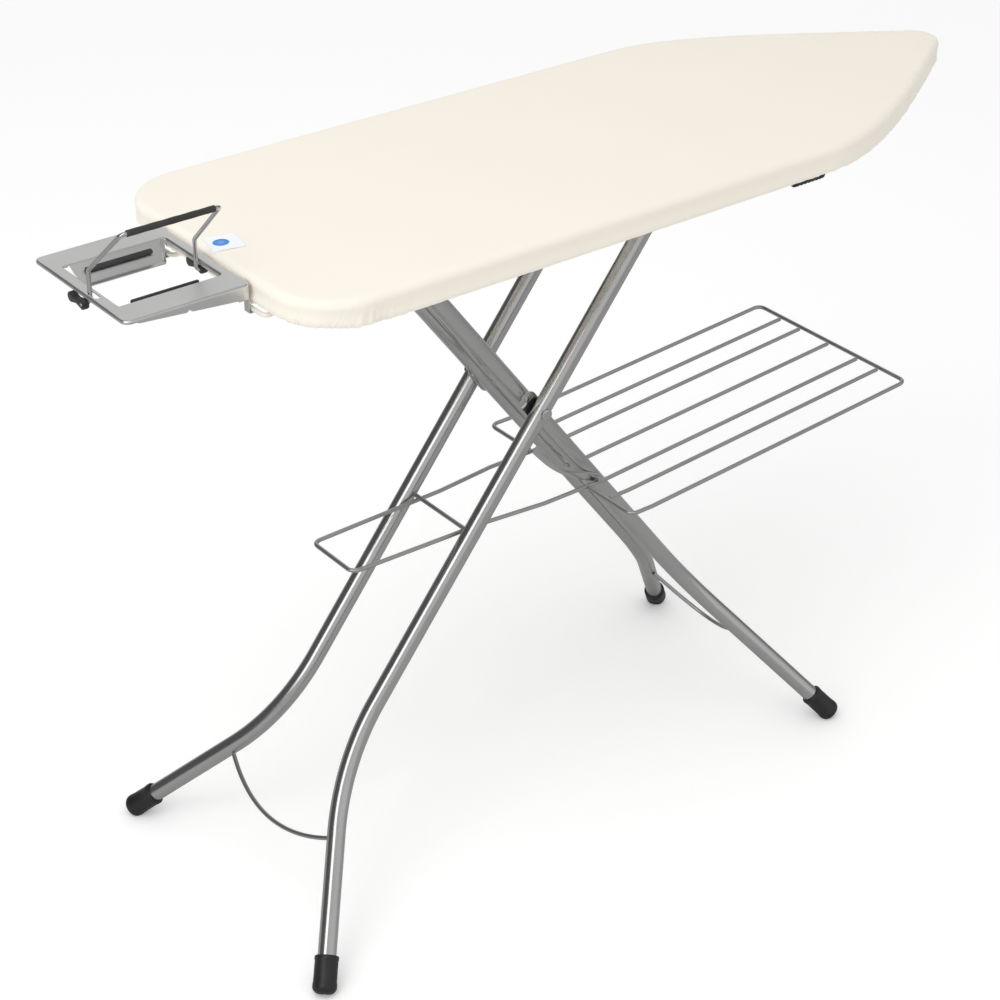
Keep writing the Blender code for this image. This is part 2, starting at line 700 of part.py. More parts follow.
def make_hub(outer, inner):
    """On each side a bolt through both tubes, a washer, and a plate on the inner tube."""
    plate_inner = INNER_HALF_WIDTH + TUBE_RADIUS + GAP
    plate_outer = plate_inner + HUB_PLATE_THICKNESS
    washer_inner = plate_outer + GAP
    washer_outer = OUTER_HALF_WIDTH - TUBE_RADIUS - GAP
    head_start = OUTER_HALF_WIDTH + TUBE_RADIUS + GAP
    straight = (HUB_PLATE_LENGTH - HUB_PLATE_WIDTH) / 2
    end = HUB_PLATE_WIDTH / 2
    outline = arc((straight, 0), end, -math.pi / 2, math.pi / 2, 8)
    outline += arc((-straight, 0), end, math.pi / 2, 3 * math.pi / 2, 8)
    hole = BOLT_RADIUS + BORE_PLAY
    for side, sign in SIDES.items():
        tail = INNER_HALF_WIDTH - TUBE_RADIUS - BOLT_HEAD_HEIGHT / 2
        top = head_start + BOLT_HEAD_HEIGHT
        profile = [(0, top), (BOLT_HEAD_RADIUS - 2 * BOLT_HEAD_EDGE, top)]
        profile += [(BOLT_HEAD_RADIUS, top - BOLT_HEAD_EDGE), (BOLT_HEAD_RADIUS, head_start)]
        profile += [(BOLT_RADIUS, head_start), (BOLT_RADIUS, tail), (0, tail)]
        axis = along((HUB.x, 0, HUB.z), (0, sign, 0))
        turned(f"hub_bolt_{side}", profile, axis, outer, steel())
        ring = [(hole, washer_inner), (WASHER_RADIUS, washer_inner)]
        ring += [(WASHER_RADIUS, washer_outer), (hole, washer_outer)]
        turned(f"hub_washer_{side}", ring, axis, outer, black_plastic(), ring=True)
        middle = sign * (plate_inner + plate_outer) / 2
        lean = Matrix.Rotation(math.pi / 2 - LEG_ANGLE, 4, "Y")
        place = Matrix.Translation((HUB.x, middle, HUB.z)) @ lean
        matrix = place @ XZ_PLANE
        name = f"hub_plate_{side}"
        plate = as_mesh(extruded(name, outline, HUB_PLATE_THICKNESS, matrix, inner, steel()))
        for way in (-1, 1):
            at = place @ Vector((way * BOSS_SPACING / 2, 0, 0))
            rise = BOSS_HEIGHT + HUB_PLATE_THICKNESS / 2
            boss = [(0, rise), (BOSS_RADIUS, rise), (BOSS_RADIUS, 0), (0, 0)]
            stud = turned(f"{name}_boss_{way}", boss, along(at, (0, sign, 0)), None, steel())
            boolean(plate, as_mesh(stud), "UNION")
        drill(plate, (HUB.x, middle, HUB.z), (0, 1, 0), hole, 4 * HUB_PLATE_THICKNESS)


# ---------------------------------------------------------------- linen rack


def rack_height(x):
    """The rack is level past its hinge, and its grid then rises towards the nose."""
    share = (x - RACK_RISE_X) / (RACK_END_X - RACK_RISE_X)
    return RACK_HEIGHT + RACK_RISE * max(0.0, share)


def rack_point(x, y):
    return (HUB.x + x, y, rack_height(x))


def make_rack(body):
    inside = LOOP_HALF_WIDTH + 2 * WIRE_RADIUS + GAP - WIRE_RADIUS
    corners = [(RACK_START_X, inside), (RACK_START_X, RACK_HALF_WIDTH)]
    corners += [(RACK_RISE_X, RACK_HALF_WIDTH), (RACK_END_X, RACK_HALF_WIDTH)]
    corners += [(x, -y) for x, y in reversed(corners)]
    path = [rack_point(x, y) for x, y in corners]
    rod("rack_frame", rounded_path(path, RACK_CORNER), WIRE_RADIUS, body, wire_steel())
    stop = RACK_END_X - 2 * WIRE_RADIUS - GAP
    start = RACK_START_X + 2 * WIRE_RADIUS + GAP
    loop = [(stop, LOOP_HALF_WIDTH), (RACK_RISE_X, LOOP_HALF_WIDTH)]
    loop += [(LOOP_NECK_START_X, LOOP_HALF_WIDTH)]
    narrow = LOOP_END_HALF_WIDTH + LOOP_TAPER
    loop += [(LOOP_NECK_END_X, narrow), (LOOP_END_X, LOOP_END_HALF_WIDTH)]
    loop += [(x, -y) for x, y in reversed(loop)]
    path = [rack_point(x, y) for x, y in loop]
    rod("rack_loop", rounded_path(path, RACK_CORNER), WIRE_RADIUS, body, wire_steel())
    wires = {
        "rack_wire_near": (start, -RACK_MID_WIRE),
        "rack_wire_middle": (RACK_AXIS.x - HUB.x - 2 * WIRE_RADIUS, 0),
        "rack_wire_far": (start, RACK_MID_WIRE),
    }
    for name, (left, y) in wires.items():
        points = [rack_point(x, y) for x in (left, RACK_RISE_X, stop)]
        rod(name, points, WIRE_RADIUS, body, wire_steel(), rings=3)
    ends = [(RACK_AXIS.x, sign * HINGE_ROD_HALF, RACK_AXIS.z) for sign in SIDES.values()]
    rod("rack_hinge_rod", ends, HINGE_ROD_RADIUS, body, wire_steel(), rings=4)


def make_strap(body):
    """A bowed flat strap that turns on the rack's hinge rod, beside the near inner tube."""
    start = STRAP_WIDTH / 2
    line = []
    for i in range(9):
        share = i / 8
        line.append((share * STRAP_LENGTH, STRAP_BOW * math.sin(math.pi * share)))
    outline = sheet_outline(line, STRAP_WIDTH)
    first = arc((0, 0), start, math.pi / 2, 3 * math.pi / 2, 6)[1:-1]
    outline = outline + first[::-1]
    face = INNER_HALF_WIDTH + TUBE_RADIUS + GAP + STRAP_THICKNESS / 2
    place = Matrix.Translation((RACK_AXIS.x, -face, RACK_AXIS.z))
    matrix = place @ XZ_PLANE @ Matrix.Rotation(STRAP_ANGLE, 4, "Z")
    strap = as_mesh(extruded("safety_strap", outline, STRAP_THICKNESS, matrix, body, steel()))
    at = (RACK_AXIS.x, -face, RACK_AXIS.z)
    drill(strap, at, (0, 1, 0), HINGE_ROD_RADIUS + BORE_PLAY, 4 * STRAP_THICKNESS)


# ---------------------------------------------------------------- height lever


def make_lever(body):
    """A cross rod that turns a catch behind the outer frame's top axle, with a grip at its end."""
    at = CENTRE_SHIFT + LEVER_X
    end = at + LEVER_DROP + GRIP_LENGTH
    low = LEVER_HEIGHT - LEVER_DROP
    path = [(at, LEVER_TAIL, LEVER_HEIGHT), (at, -LEVER_REACH, LEVER_HEIGHT)]
    path += [(at + LEVER_DROP, -LEVER_REACH, low), (end, -LEVER_REACH, low)]
    path = rounded_path(path, LEVER_BEND)
    rod("lever_rod", path, LEVER_ROD_RADIUS, body, wire_steel(), rings=3)
    tooth = AXLE_X + AXLE_RADIUS + CATCH_TOOTH_GAP - LEVER_X
    eye = CATCH_EYE_RADIUS
    bottom = AXLE_HEIGHT + AXLE_RADIUS + CATCH_AXLE_GAP - LEVER_HEIGHT
    outline = arc((0, 0), eye, math.pi / 2, -math.pi / 2, 8)
    outline += [(tooth + CATCH_TOOTH_WIDTH + CATCH_TOOTH_SLOPE, -eye)]
    outline += [(tooth + CATCH_TOOTH_WIDTH, bottom), (tooth, bottom), (tooth, eye)]
    matrix = Matrix.Translation((at, 0, LEVER_HEIGHT)) @ XZ_PLANE
    catch = as_mesh(extruded("catch", outline, CATCH_THICKNESS, matrix, body, steel()))
    drill(catch, (at, 0, LEVER_HEIGHT), (0, 1, 0), LEVER_ROD_RADIUS + GAP, 4 * CATCH_THICKNESS)
    inner = LEVER_ROD_RADIUS + GAP
    long = GRIP_LENGTH - 2 * LEVER_BEND
    profile = [(0, GRIP_WALL), (GRIP_RADIUS - GRIP_EDGE, GRIP_WALL)]
    profile += [(GRIP_RADIUS, GRIP_WALL - GRIP_EDGE), (GRIP_RADIUS, -long)]
    profile += [(inner, -long), (inner, 0), (0, 0)]
    place = along((end + GAP, -LEVER_REACH, low), (1, 0, 0))
    turned("lever_grip", profile, place, body, black_plastic())


# ---------------------------------------------------------------- iron rest


def rest_panel_line(sign):
    """A rail's inner fold, seen along X: down and inwards, then a short level lip."""
    edge = REST_WIDTH / 2 - REST_RAIL
    middle = REST_HEIGHT - REST_SHEET / 2
    low = middle - PANEL_DROP
    run = edge - PANEL_RUN
    line = [(edge + PANEL_OVERLAP, middle), (edge + PANEL_BEND, middle)]
    line += [(run, low), (run - PANEL_LIP, low)]
    return [(sign * y, z) for y, z in line]


def make_rest_frame(board):
    left, right = CENTRE_SHIFT + REST_END_X, CENTRE_SHIFT + REST_START_X
    half = REST_WIDTH / 2
    corners = [(left, 0), (left, -half), (right, -half), (right, half), (left, half), (left, 0)]
    outline = [p.to_2d() for p in rounded_path([(x, y, 0) for x, y in corners], REST_CORNER)]
    place = Matrix.Translation((0, 0, REST_HEIGHT - REST_SHEET / 2))
    sheet = extruded("rest_frame", outline[:-1], REST_SHEET, place, board, steel())
    frame = as_mesh(sheet)
    inner = half - REST_RAIL
    low = (left + REST_STRIP, -inner, REST_HEIGHT - 4 * REST_SHEET)
    high = (right - REST_STRIP, inner, REST_HEIGHT + 4 * REST_SHEET)
    boolean(frame, box("rest_opening", low, high, None, steel()), "DIFFERENCE")
    slot = BAIL_RADIUS + BAIL_SLOT_PLAY
    slot_x = left + BAIL_INSET
    low = (slot_x - slot, BAIL_Y - BAIL_SLOT_LENGTH + slot, REST_HEIGHT - 4 * REST_SHEET)
    high = (slot_x + slot, BAIL_Y + slot, REST_HEIGHT + 4 * REST_SHEET)
    boolean(frame, box("rest_slot", low, high, None, steel()), "DIFFERENCE")
    middle = REST_HEIGHT - REST_SHEET / 2
    start = right - REST_CORNER - SKIRT_NOTCH
    stop = left + REST_CORNER + SKIRT_NOTCH
    skirt = [(start, middle), (stop, middle), (stop, middle - SKIRT_TIP_DEPTH)]
    notch = REST_MIDDLE_X + CENTRE_SHIFT
    skirt += [(notch - SKIRT_NOTCH, middle - 0.75 * SKIRT_DEPTH)]
    skirt += [(notch, middle - 0.7 * SKIRT_DEPTH)]
    skirt += [(notch, middle - 0.8 * SKIRT_DEPTH), (start, middle - SKIRT_DEPTH)]
    panel_x = (left + right) / 2
    panel_length = right - left - 2 * REST_STRIP - 2 * PANEL_MARGIN
    for side, sign in SIDES.items():
        at = Matrix.Translation((0, sign * (half - REST_SHEET), 0)) @ XZ_PLANE
        piece = extruded(f"rest_skirt_{side}", skirt, REST_SHEET, at, None, steel())
        boolean(frame, as_mesh(piece), "UNION")
        line = sheet_outline(rest_panel_line(sign), 0.8 * REST_SHEET)
        at = Matrix.Translation((panel_x, 0, 0)) @ YZ_PLANE
        piece = extruded(f"rest_panel_{side}", line, panel_length, at, None, steel())
        boolean(frame, as_mesh(piece), "UNION")
    flange = right - REST_STRIP
    reach = inner - FLANGE_END_GAP
    low = (flange + FLANGE_INSET, -reach, middle - STRIP_FLANGE)
    high = (flange + REST_SHEET, reach, middle)
    boolean(frame, box("rest_flange", low, high, None, steel()), "UNION")


def make_rubber_strips(board):
    """A rubber strip on each inner fold."""
    slope = math.atan2(PANEL_DROP, PANEL_RUN)
    edge = REST_WIDTH / 2 - REST_RAIL
    middle = CENTRE_SHIFT + REST_MIDDLE_X
    lift = REST_SHEET / 2 + GAP + RUBBER_HEIGHT / 2
    for side, sign in SIDES.items():
        y = edge - 0.4 * PANEL_RUN - lift * math.sin(slope)
        z = REST_HEIGHT - REST_SHEET / 2 - 0.4 * PANEL_DROP + lift * math.cos(slope)
        half = Vector((RUBBER_LENGTH / 2, RUBBER_WIDTH / 2, RUBBER_HEIGHT / 2))
        strip = box(f"rest_rubber_{side}", -half, half, None, black_rubber(), SMALL_EDGE)
        turn = Matrix.Rotation(sign * slope, 4, "X")
        strip.matrix_world = Matrix.Translation((middle, sign * y, z)) @ turn
        strip.parent = board
        strip.matrix_parent_inverse = board.matrix_world.inverted()


def make_bail(body):
    """A bent wire on two feet under the rest's end strips, with a sleeve on its top bar."""
    left = CENTRE_SHIFT + REST_END_X + BAIL_INSET
    right = CENTRE_SHIFT + REST_START_X - REST_STRIP - BAIL_RADIUS - BAIL_SLOT_PLAY
    axis = BAIL_AXIS_HEIGHT
    bend = axis + BAIL_UPRIGHT
    top = bend + BAIL_RISE
    lean = BAIL_Y - BAIL_LEAN
    first = left + BAIL_TAPER
    last = right - BAIL_TAPER
    path = [(left - BAIL_FOOT, BAIL_Y, axis), (left, BAIL_Y, axis), (left, BAIL_Y, bend)]
    path += [(first, lean, top), (last, lean, top), (right, BAIL_Y, bend)]
    path += [(right, BAIL_Y, axis), (right + BAIL_FOOT, BAIL_Y, axis)]
    rod("bail_wire", rounded_path(path, BAIL_BEND), BAIL_RADIUS, body, steel())
    inner = BAIL_RADIUS + GAP
    start = first + SLEEVE_MARGIN
    long = last - SLEEVE_MARGIN - start
    edge = SLEEVE_RADIUS - SMALL_EDGE
    ring = [(inner, long), (edge, long), (SLEEVE_RADIUS, long - SMALL_EDGE)]
    ring += [(SLEEVE_RADIUS, SMALL_EDGE), (edge, 0), (inner, 0)]
    matrix = along((start, lean, top), (1, 0, 0))
    turned("bail_sleeve", ring, matrix, body, black_rubber(), ring=True)
    return left, right


def make_clips(board, left, right):
    """Two-lobed clips under the end strips, one for each foot of the bail."""
    half = CLIP_LENGTH / 2 - CLIP_RADIUS
    outline = arc((half, 0), CLIP_RADIUS, -math.pi / 2, math.pi / 2, 6)
    outline += [(half / 3, CLIP_WAIST), (-half / 3, CLIP_WAIST)]
    outline += arc((-half, 0), CLIP_RADIUS, math.pi / 2, 3 * math.pi / 2, 6)
    outline += [(-half / 3, -CLIP_WAIST), (half / 3, -CLIP_WAIST)]
    reach = BAIL_BEND + GAP + CLIP_WIDTH / 2
    places = {"rest_clip_end": left - reach, "rest_clip_board": right + reach}
    for name, x in places.items():
        centre = (x, BAIL_Y + half, BAIL_AXIS_HEIGHT)
        matrix = Matrix.Translation(centre) @ YZ_PLANE
        clip = as_mesh(extruded(name, outline, CLIP_WIDTH, matrix, board, black_plastic()))
        at = (x, BAIL_Y, BAIL_AXIS_HEIGHT)
        drill(clip, at, (1, 0, 0), BAIL_RADIUS + BORE_PLAY, 4 * CLIP_WIDTH)


def make_carriers(board):
    """Painted wire loops under the board's end, and the rest's hooks that hang on them."""
    height = HEM_HEIGHT - CARRIER_RADIUS - GAP
    inside = PLATE_BOTTOM - RIB_HEIGHT - 2 * GAP - CARRIER_RADIUS
    square_end = CENTRE_SHIFT + SQUARE_END_X
    end = square_end + CARRIER_END_INSET
    rise = square_end + CARRIER_RISE_INSET
    back = square_end + CARRIER_RIB_INSET
    for side, sign in SIDES.items():
        inner = sign * (CARRIER_Y - CARRIER_HALF_WIDTH)
        outer = sign * (CARRIER_Y + CARRIER_HALF_WIDTH)
        arm = [(back, inside), (back - CARRIER_FLAT, inside), (rise, height)]
        path = [(x, inner, z) for x, z in arm] + [(end, inner, height), (end, outer, height)]
        path += [(x, outer, z) for x, z in reversed(arm)]
        name = f"carrier_loop_{side}"
        rod(name, rounded_path(path, CARRIER_BEND), CARRIER_RADIUS, board, cream_paint())
        make_hook(f"rest_hook_{side}", sign * HOOK_Y, end, height, board)


def make_hook(name, y, loop_x, loop_height, board):
    """A J-shaped strip that hangs from the rest and holds a carrier loop's closed end."""
    reach = CARRIER_RADIUS + HOOK_PLAY + HOOK_SHEET / 2
    top = REST_HEIGHT - REST_SHEET - GAP
    back = CENTRE_SHIFT + REST_START_X - HOOK_SHEET / 2
    low = loop_height - reach
    lip = loop_x + reach
    line = [(back, top), (back, low), (lip, low), (lip, loop_height - HOOK_LIP_DROP)]
    matrix = Matrix.Translation((0, y, 0)) @ XZ_PLANE
    extruded(name, sheet_outline(line, HOOK_SHEET), HOOK_WIDTH, matrix, board, cream_paint())


# ---------------------------------------------------------------- assembly


def main():
    board = body_empty("board_body", (HUB.x, 0, BOARD_HEIGHT))
    inner = body_empty("inner_frame_body", (HUB.x - AXLE_X, 0, AXLE_HEIGHT))
    outer = body_empty("outer_frame_body", HUB)
    rack = body_empty("rack_body", RACK_AXIS)
    strap = body_empty("strap_body", RACK_AXIS)
    lever = body_empty("lever_body", (HUB.x + LEVER_X, 0, LEVER_HEIGHT))
    bail = body_empty("bail_body", (HUB.x + REST_MIDDLE_X, BAIL_Y, BAIL_AXIS_HEIGHT))
    make_board(board)
    make_label(board)
    make_hinge_brackets(board)
    make_tracks(board)
    make_outer_frame(outer)
    make_inner_frame(inner)
    make_hub(outer, inner)
    make_rack(rack)
    make_strap(strap)
    make_lever(lever)
    make_rest_frame(board)
    make_rubber_strips(board)
    left, right = make_bail(bail)
    make_clips(board, left, right)
    make_carriers(board)


clear_scene()
PARTS = new_collection("ironing_board")
CUTTERS = new_collection("cutters", hidden=True)
main()
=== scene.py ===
"""The looks of a folding ironing board: cotton, foam, satin steel, drawn wire, paint, rubber.

Metres, +Z up. +X runs from the square end to the nose, -Y is the near side.
The frame of solids is fixed, and every piece here is worked out from it.
"""

import json
import math

import bmesh
import bpy
import numpy as np
from bpy.props import FloatProperty, FloatVectorProperty, PointerProperty
from mathutils import Matrix, Vector


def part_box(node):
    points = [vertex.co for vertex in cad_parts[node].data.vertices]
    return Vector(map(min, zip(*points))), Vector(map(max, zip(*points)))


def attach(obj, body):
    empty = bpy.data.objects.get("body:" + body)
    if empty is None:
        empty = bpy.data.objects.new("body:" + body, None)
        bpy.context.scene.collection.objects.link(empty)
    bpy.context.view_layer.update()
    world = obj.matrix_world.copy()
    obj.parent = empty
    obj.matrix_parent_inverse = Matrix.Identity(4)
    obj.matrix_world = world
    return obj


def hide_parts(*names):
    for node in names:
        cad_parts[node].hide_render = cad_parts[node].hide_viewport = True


bl_info = {
    "name": "Ironing board looks",
    "version": (1, 0, 0),
    "blender": (4, 5, 0),
    "location": "3D View > Sidebar > Ironing board",
    "description": "Builds the visible pieces of a folding ironing board around its frame",
    "category": "Add Mesh",
}

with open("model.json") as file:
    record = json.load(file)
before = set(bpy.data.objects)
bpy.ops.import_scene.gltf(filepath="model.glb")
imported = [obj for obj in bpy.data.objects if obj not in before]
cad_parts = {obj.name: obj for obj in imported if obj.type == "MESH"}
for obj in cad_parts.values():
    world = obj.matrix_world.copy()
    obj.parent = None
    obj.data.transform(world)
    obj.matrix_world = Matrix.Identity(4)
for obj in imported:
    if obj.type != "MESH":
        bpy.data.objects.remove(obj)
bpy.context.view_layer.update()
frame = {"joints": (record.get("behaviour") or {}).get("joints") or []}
JOINTS = {joint["name"]: np.array(joint["pos_m"]) for joint in frame["joints"]}
HUB = JOINTS["leg_cross"]
INNER_AXLE = JOINTS["leg_fold"]
RACK_HINGE = JOINTS["rack_fold"]
BAIL_AXIS = JOINTS["bail_fold"]
LEVER_AXIS = JOINTS["lever_turn"]
SIDES = {"near": -1, "far": 1}
WELD = 0.000002         # points nearer than this are one point
TOP_RINGS = 7           # rings of the cover from its middle to its edge
LABEL_SIDE = 0.041      # side of the square care label
RIB_SHEET = 0.0014      # wall of the cross ribs
RAIL_SHEET = 0.0016     # wall of the glides' rails
RAIL_ROOM = 0.0085      # half the height inside a rail
GLIDE_BORE = 0.0061     # radius of the hole in a glide
BOLT_SHANK = 0.004      # radius of a hub bolt's shank
BOLT_HEAD = 0.0085      # radius of its head
BOLT_HEAD_TALL = 0.0035
WASHER_BORE = 0.0042    # radii of a hub washer
WASHER_RADIUS = 0.0145
HUB_SHEET = 0.0015      # thickness of a hub plate
HUB_END = 0.014         # radius of its half-round ends
HUB_REACH = 0.016       # from the hub to the middle of each end
WIRE = 0.003            # radius of the rack's, the braces' and the carriers' wire
STRAP_LONG = 0.140      # the safety strap, with the height of its bow
STRAP_WIDE = 0.013
STRAP_BOW = 0.010
STRAP_SLOPE = math.radians(143)
LEVER_DROP = 0.026      # how far the lever's grip hangs below its rod
LEVER_REACH = 0.175     # how far it stands out to the near side
CATCH_EYE = 0.008       # radius of the catch round its rod
BAIL_WIRE = 0.0027      # radius of the bail's wire
BAIL_FOOT = 0.0130      # length of its turned feet
SLOT_RADIUS = 0.0039    # the slot that the bail's foot stands in
SLOT_LONG = 0.0152
STRIP_RADIUS = 0.0035   # half the width of a rubber strip
HOOK_SHEET = 0.0015     # thickness of a hook's strip
SLEEVE_BLACK = (0.028, 0.026, 0.026)
X, Y, Z = np.eye(3)


def span(node):
    """The lowest and highest corner of a solid of the frame."""
    low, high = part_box(node)
    return np.array(low), np.array(high)


COVER_LOW, COVER_HIGH = span("cover")
BOARD_TOP = COVER_HIGH[2]
HEM_BOTTOM = COVER_LOW[2]
SQUARE_END = COVER_LOW[0]
NOSE_TIP = COVER_HIGH[0]
HALF_WIDTH = COVER_HIGH[1]


# ---------------------------------------------------------------- sizes and colours


def length(name, description, default):
    return FloatProperty(name=name, description=description, default=default, unit="LENGTH",
                         precision=4, min=0.0)


def turn(name, description, degrees):
    return FloatProperty(name=name, description=description, default=math.radians(degrees),
                         subtype="ANGLE")


def colour(name, description, default):
    return FloatVectorProperty(name=name, description=description, default=default,
                               subtype="COLOR", size=3, min=0.0, max=1.0)


def share(name, description, default):
    return FloatProperty(name=name, description=description, default=default, subtype="FACTOR",
                         min=0.0, max=1.0)


class BoardSizes(bpy.types.PropertyGroup):
    """Sizes and colours of the board, its cover and its label"""

    nose_radius: length("Nose radius", "Radius of the nose's tip", 0.035)
    nose_arc: turn("Nose arc", "How far the tip's round turns on each side", 58)
    taper_from: length("Taper from hub", "From the hub to where the straight sides end", 0.360)
    taper_start_pull: length("Taper start", "How long the taper stays near straight", 0.110)
    taper_end_pull: length("Taper end", "How long the taper runs straight to the tip", 0.160)
    corner_radius: length("Corner radius", "Radius of the square end's corners", 0.087)
    cloth_edge: length("Cloth edge", "Round of the cloth over the pad's edge", 0.010)
    cloth_tuck: length("Cloth tuck", "Round of the cloth under the rim along the sides", 0.0085)
    end_tuck: length("End tuck", "Round of the cloth under the rim at the square end", 0.0115)
    cloth_thickness: length("Cloth thickness", "One layer of cotton", 0.0007)
    hem_width: length("Hem width", "How far the cloth reaches in under the board", 0.026)
    casing_radius: length("Casing radius", "Round of the draw-cord's casing", 0.0024)
    gather_depth: length("Gather depth", "Depth of the gathers in the skirt", 0.0017)
    nose_gather_depth: length("Nose gather depth", "Depth of the pulls round the nose", 0.0007)
    pad_swell: length("Pad swell", "How much the top rises and falls", 0.00025)
    label_bend: length("Label bend", "How much the label lifts between its stitches", 0.0003)
    cotton: colour("Cotton", "Colour of the cover", (0.885, 0.836, 0.742))
    foam: colour("Foam", "Colour of the pad", (0.72, 0.73, 0.70))
    label: colour("Label", "Ground colour of the care label", (0.86, 0.89, 0.93))
    label_mark: colour("Label mark", "Colour of the oval on the label", (0.06, 0.24, 0.62))
    paint: colour("Paint", "Powder coat on the board's frame", (0.83, 0.79, 0.70))


class LegSizes(bpy.types.PropertyGroup):
    """Sizes and finish of the leg frames"""

    tube_radius: length("Tube radius", "Outer radius of the leg tubes", 0.0125)
    tube_wall: length("Tube wall", "Wall of the leg tubes", 0.0012)
    top_overhang: length("Top overhang", "Tube above its top axle", 0.014)
    bend_radius: length("Bend radius", "Middle-line radius of the bends", 0.31)
    outer_splay: turn("Outer splay", "How far the outer feet turn outwards", 34.4)
    inner_splay: turn("Inner splay", "How far the inner feet turn outwards", 27.9)
    outer_bend_height: length("Outer bend", "Height of the outer tubes' corner", 0.2075)
    inner_bend_height: length("Inner bend", "Height of the inner tubes' corner", 0.2476)
    foot_radius: length("Foot radius", "Outer radius of the rubber feet", 0.0165)
    foot_length: length("Foot length", "Length of the rubber feet", 0.050)
    foot_flat: length("Foot flat", "How far a foot is pressed flat by the floor", 0.0005)
    outer_brace_height: length("Outer brace", "Height of the outer brace's ends", 0.1348)
    outer_brace_sag: length("Outer brace sag", "Dip of the outer brace", 0.034)
    inner_brace_height: length("Inner brace", "Height of the inner brace's ends", 0.1535)
    inner_brace_sag: length("Inner brace sag", "Dip of the inner brace", 0.073)
    steel: colour("Steel", "Colour of the satin tubes", (0.60, 0.60, 0.595))
    steel_roughness: share("Steel roughness", "Mean roughness of the tubes", 0.20)
    rubber: colour("Rubber", "Colour of the feet", (0.012, 0.012, 0.013))


class RackSizes(bpy.types.PropertyGroup):
    """Sizes and finish of the linen rack"""

    rise_from_hub: length("Rise from hub", "From the hub to where the grid rises", 0.135)
    corner_radius: length("Corner radius", "Round of the wire corners", 0.012)
    neck_from: length("Neck from hub", "From the hub to where the loop narrows", 0.020)
    neck_to: length("Neck to hub", "From the hub back to the narrowed loop", 0.075)
    loop_end_half: length("Loop end", "Half width of the loop's closed end", 0.046)
    loop_taper: length("Loop taper", "How much wider the loop is at its neck", 0.006)
    wire: colour("Wire", "Colour of the drawn wire", (0.50, 0.50, 0.495))


class RestSizes(bpy.types.PropertyGroup):
    """Sizes and finish of the iron rest and its bail"""

    sheet: length("Sheet", "Thickness of the pressed sheet", 0.0013)
    rail: length("Rail", "Width of the long rails", 0.040)
    strip: length("Strip", "Width of the end strips", 0.0150)
    corner: length("Corner", "Radius of the sheet's corners", 0.010)
    outer_bend: length("Outer bend", "Bend radius at the sheet's outer edge", 0.0028)
    inner_bend: length("Inner bend", "Bend radius at the opening's edge", 0.0030)
    rim_depth: length("Rim depth", "Depth of the sheet's rolled rim", 0.0042)
    skirt_depth: length("Skirt depth", "Depth of the skirt at the board's end", 0.019)
    panel_run: length("Panel run", "How far the inner panels reach in", 0.028)
    panel_drop: length("Panel drop", "How far the inner panels go down", 0.021)
    panel_lip: length("Panel lip", "Level lip at the panels' lower edge", 0.005)
    panel_margin: length("Panel margin", "From the opening's corner to a panel", 0.010)
    bail_taper: length("Bail taper", "How much narrower the bail is at its top", 0.006)
    bail_upright: length("Bail upright", "Straight part of the bail above its axis", 0.040)
    bail_bend: length("Bail bend", "Bend radius of the bail's wire", 0.0060)
    sheet_steel: colour("Sheet steel", "Colour of the pressed rest", (0.74, 0.74, 0.73))
    plastic: colour("Plastic", "Colour of the moulded clips", (0.016, 0.016, 0.017))


class StageSizes(bpy.types.PropertyGroup):
    """The floor and the camera"""

    camera_x: FloatProperty(name="Camera X", description="From the hub", default=-1.790)
    camera_y: FloatProperty(name="Camera Y", description="Place of the camera", default=-2.223)
    camera_z: FloatProperty(name="Camera Z", description="Height of the camera", default=2.192)
    azimuth: turn("Azimuth", "Where the camera stands round the board", -38.80)
    elevation: turn("Elevation", "How far the camera looks down", 30.97)
    roll: turn("Roll", "How far the camera is turned about its own line of sight", 0.974)
    lens: FloatProperty(name="Lens", description="Focal length in millimetres", default=85.885)
    shift_x: FloatProperty(name="Shift X", description="Framing to the side", default=-0.0041)
    shift_y: FloatProperty(name="Shift Y", description="Framing up and down", default=-0.0062)
    floor: colour("Floor", "Colour of the floor", (0.99, 0.99, 0.99))


class IroningBoardSettings(bpy.types.PropertyGroup):
    """All the sizes and colours, one group for each part"""

    board: PointerProperty(type=BoardSizes)
    legs: PointerProperty(type=LegSizes)
    rack: PointerProperty(type=RackSizes)
    rest: PointerProperty(type=RestSizes)
    stage: PointerProperty(type=StageSizes)


def sizes():
    """The settings that the present scene holds."""
    return bpy.context.scene.ironing_board


# ---------------------------------------------------------------- lines


def unit(vectors):
    """Each vector divided by its own length."""
    return vectors / np.linalg.norm(vectors, axis=-1, keepdims=True)


def rounded(points, radius, count=8, closed=False):
    """A line whose corners are arcs that touch both sides: each arc's point is the sine-weighted
    mean of its two ends, seen from the arc's middle."""
    points = np.asarray(points, float)
    last = len(points) - 1
    parts = []
    for i, corner in enumerate(points):
        before = points[i - 1] - corner
        after = points[(i + 1) % len(points)] - corner
        if not closed and i in (0, last):
            parts.append(corner[None])
            continue
        before, after = unit(before), unit(after)
        half = math.acos(np.clip(before @ after, -1, 1)) / 2
        if math.cos(half) < 0.001:
            parts.append(corner[None])
            continue
        middle = corner + unit(before + after) * radius / math.sin(half)
        start = corner + before * radius / math.tan(half) - middle
        end = corner + after * radius / math.tan(half) - middle
        whole = math.pi - 2 * half
        t = np.linspace(0, whole, count + 1)[:, None]
        parts.append(middle + (np.sin(whole - t) * start + np.sin(t) * end) / math.sin(whole))
    return np.concatenate(parts)


def smooth_step(value, low, high):
    """0 below low, 1 above high, and 3t^2 - 2t^3 between."""
    t = np.clip((value - low) / (high - low), 0, 1)
    return t * t * (3 - 2 * t)


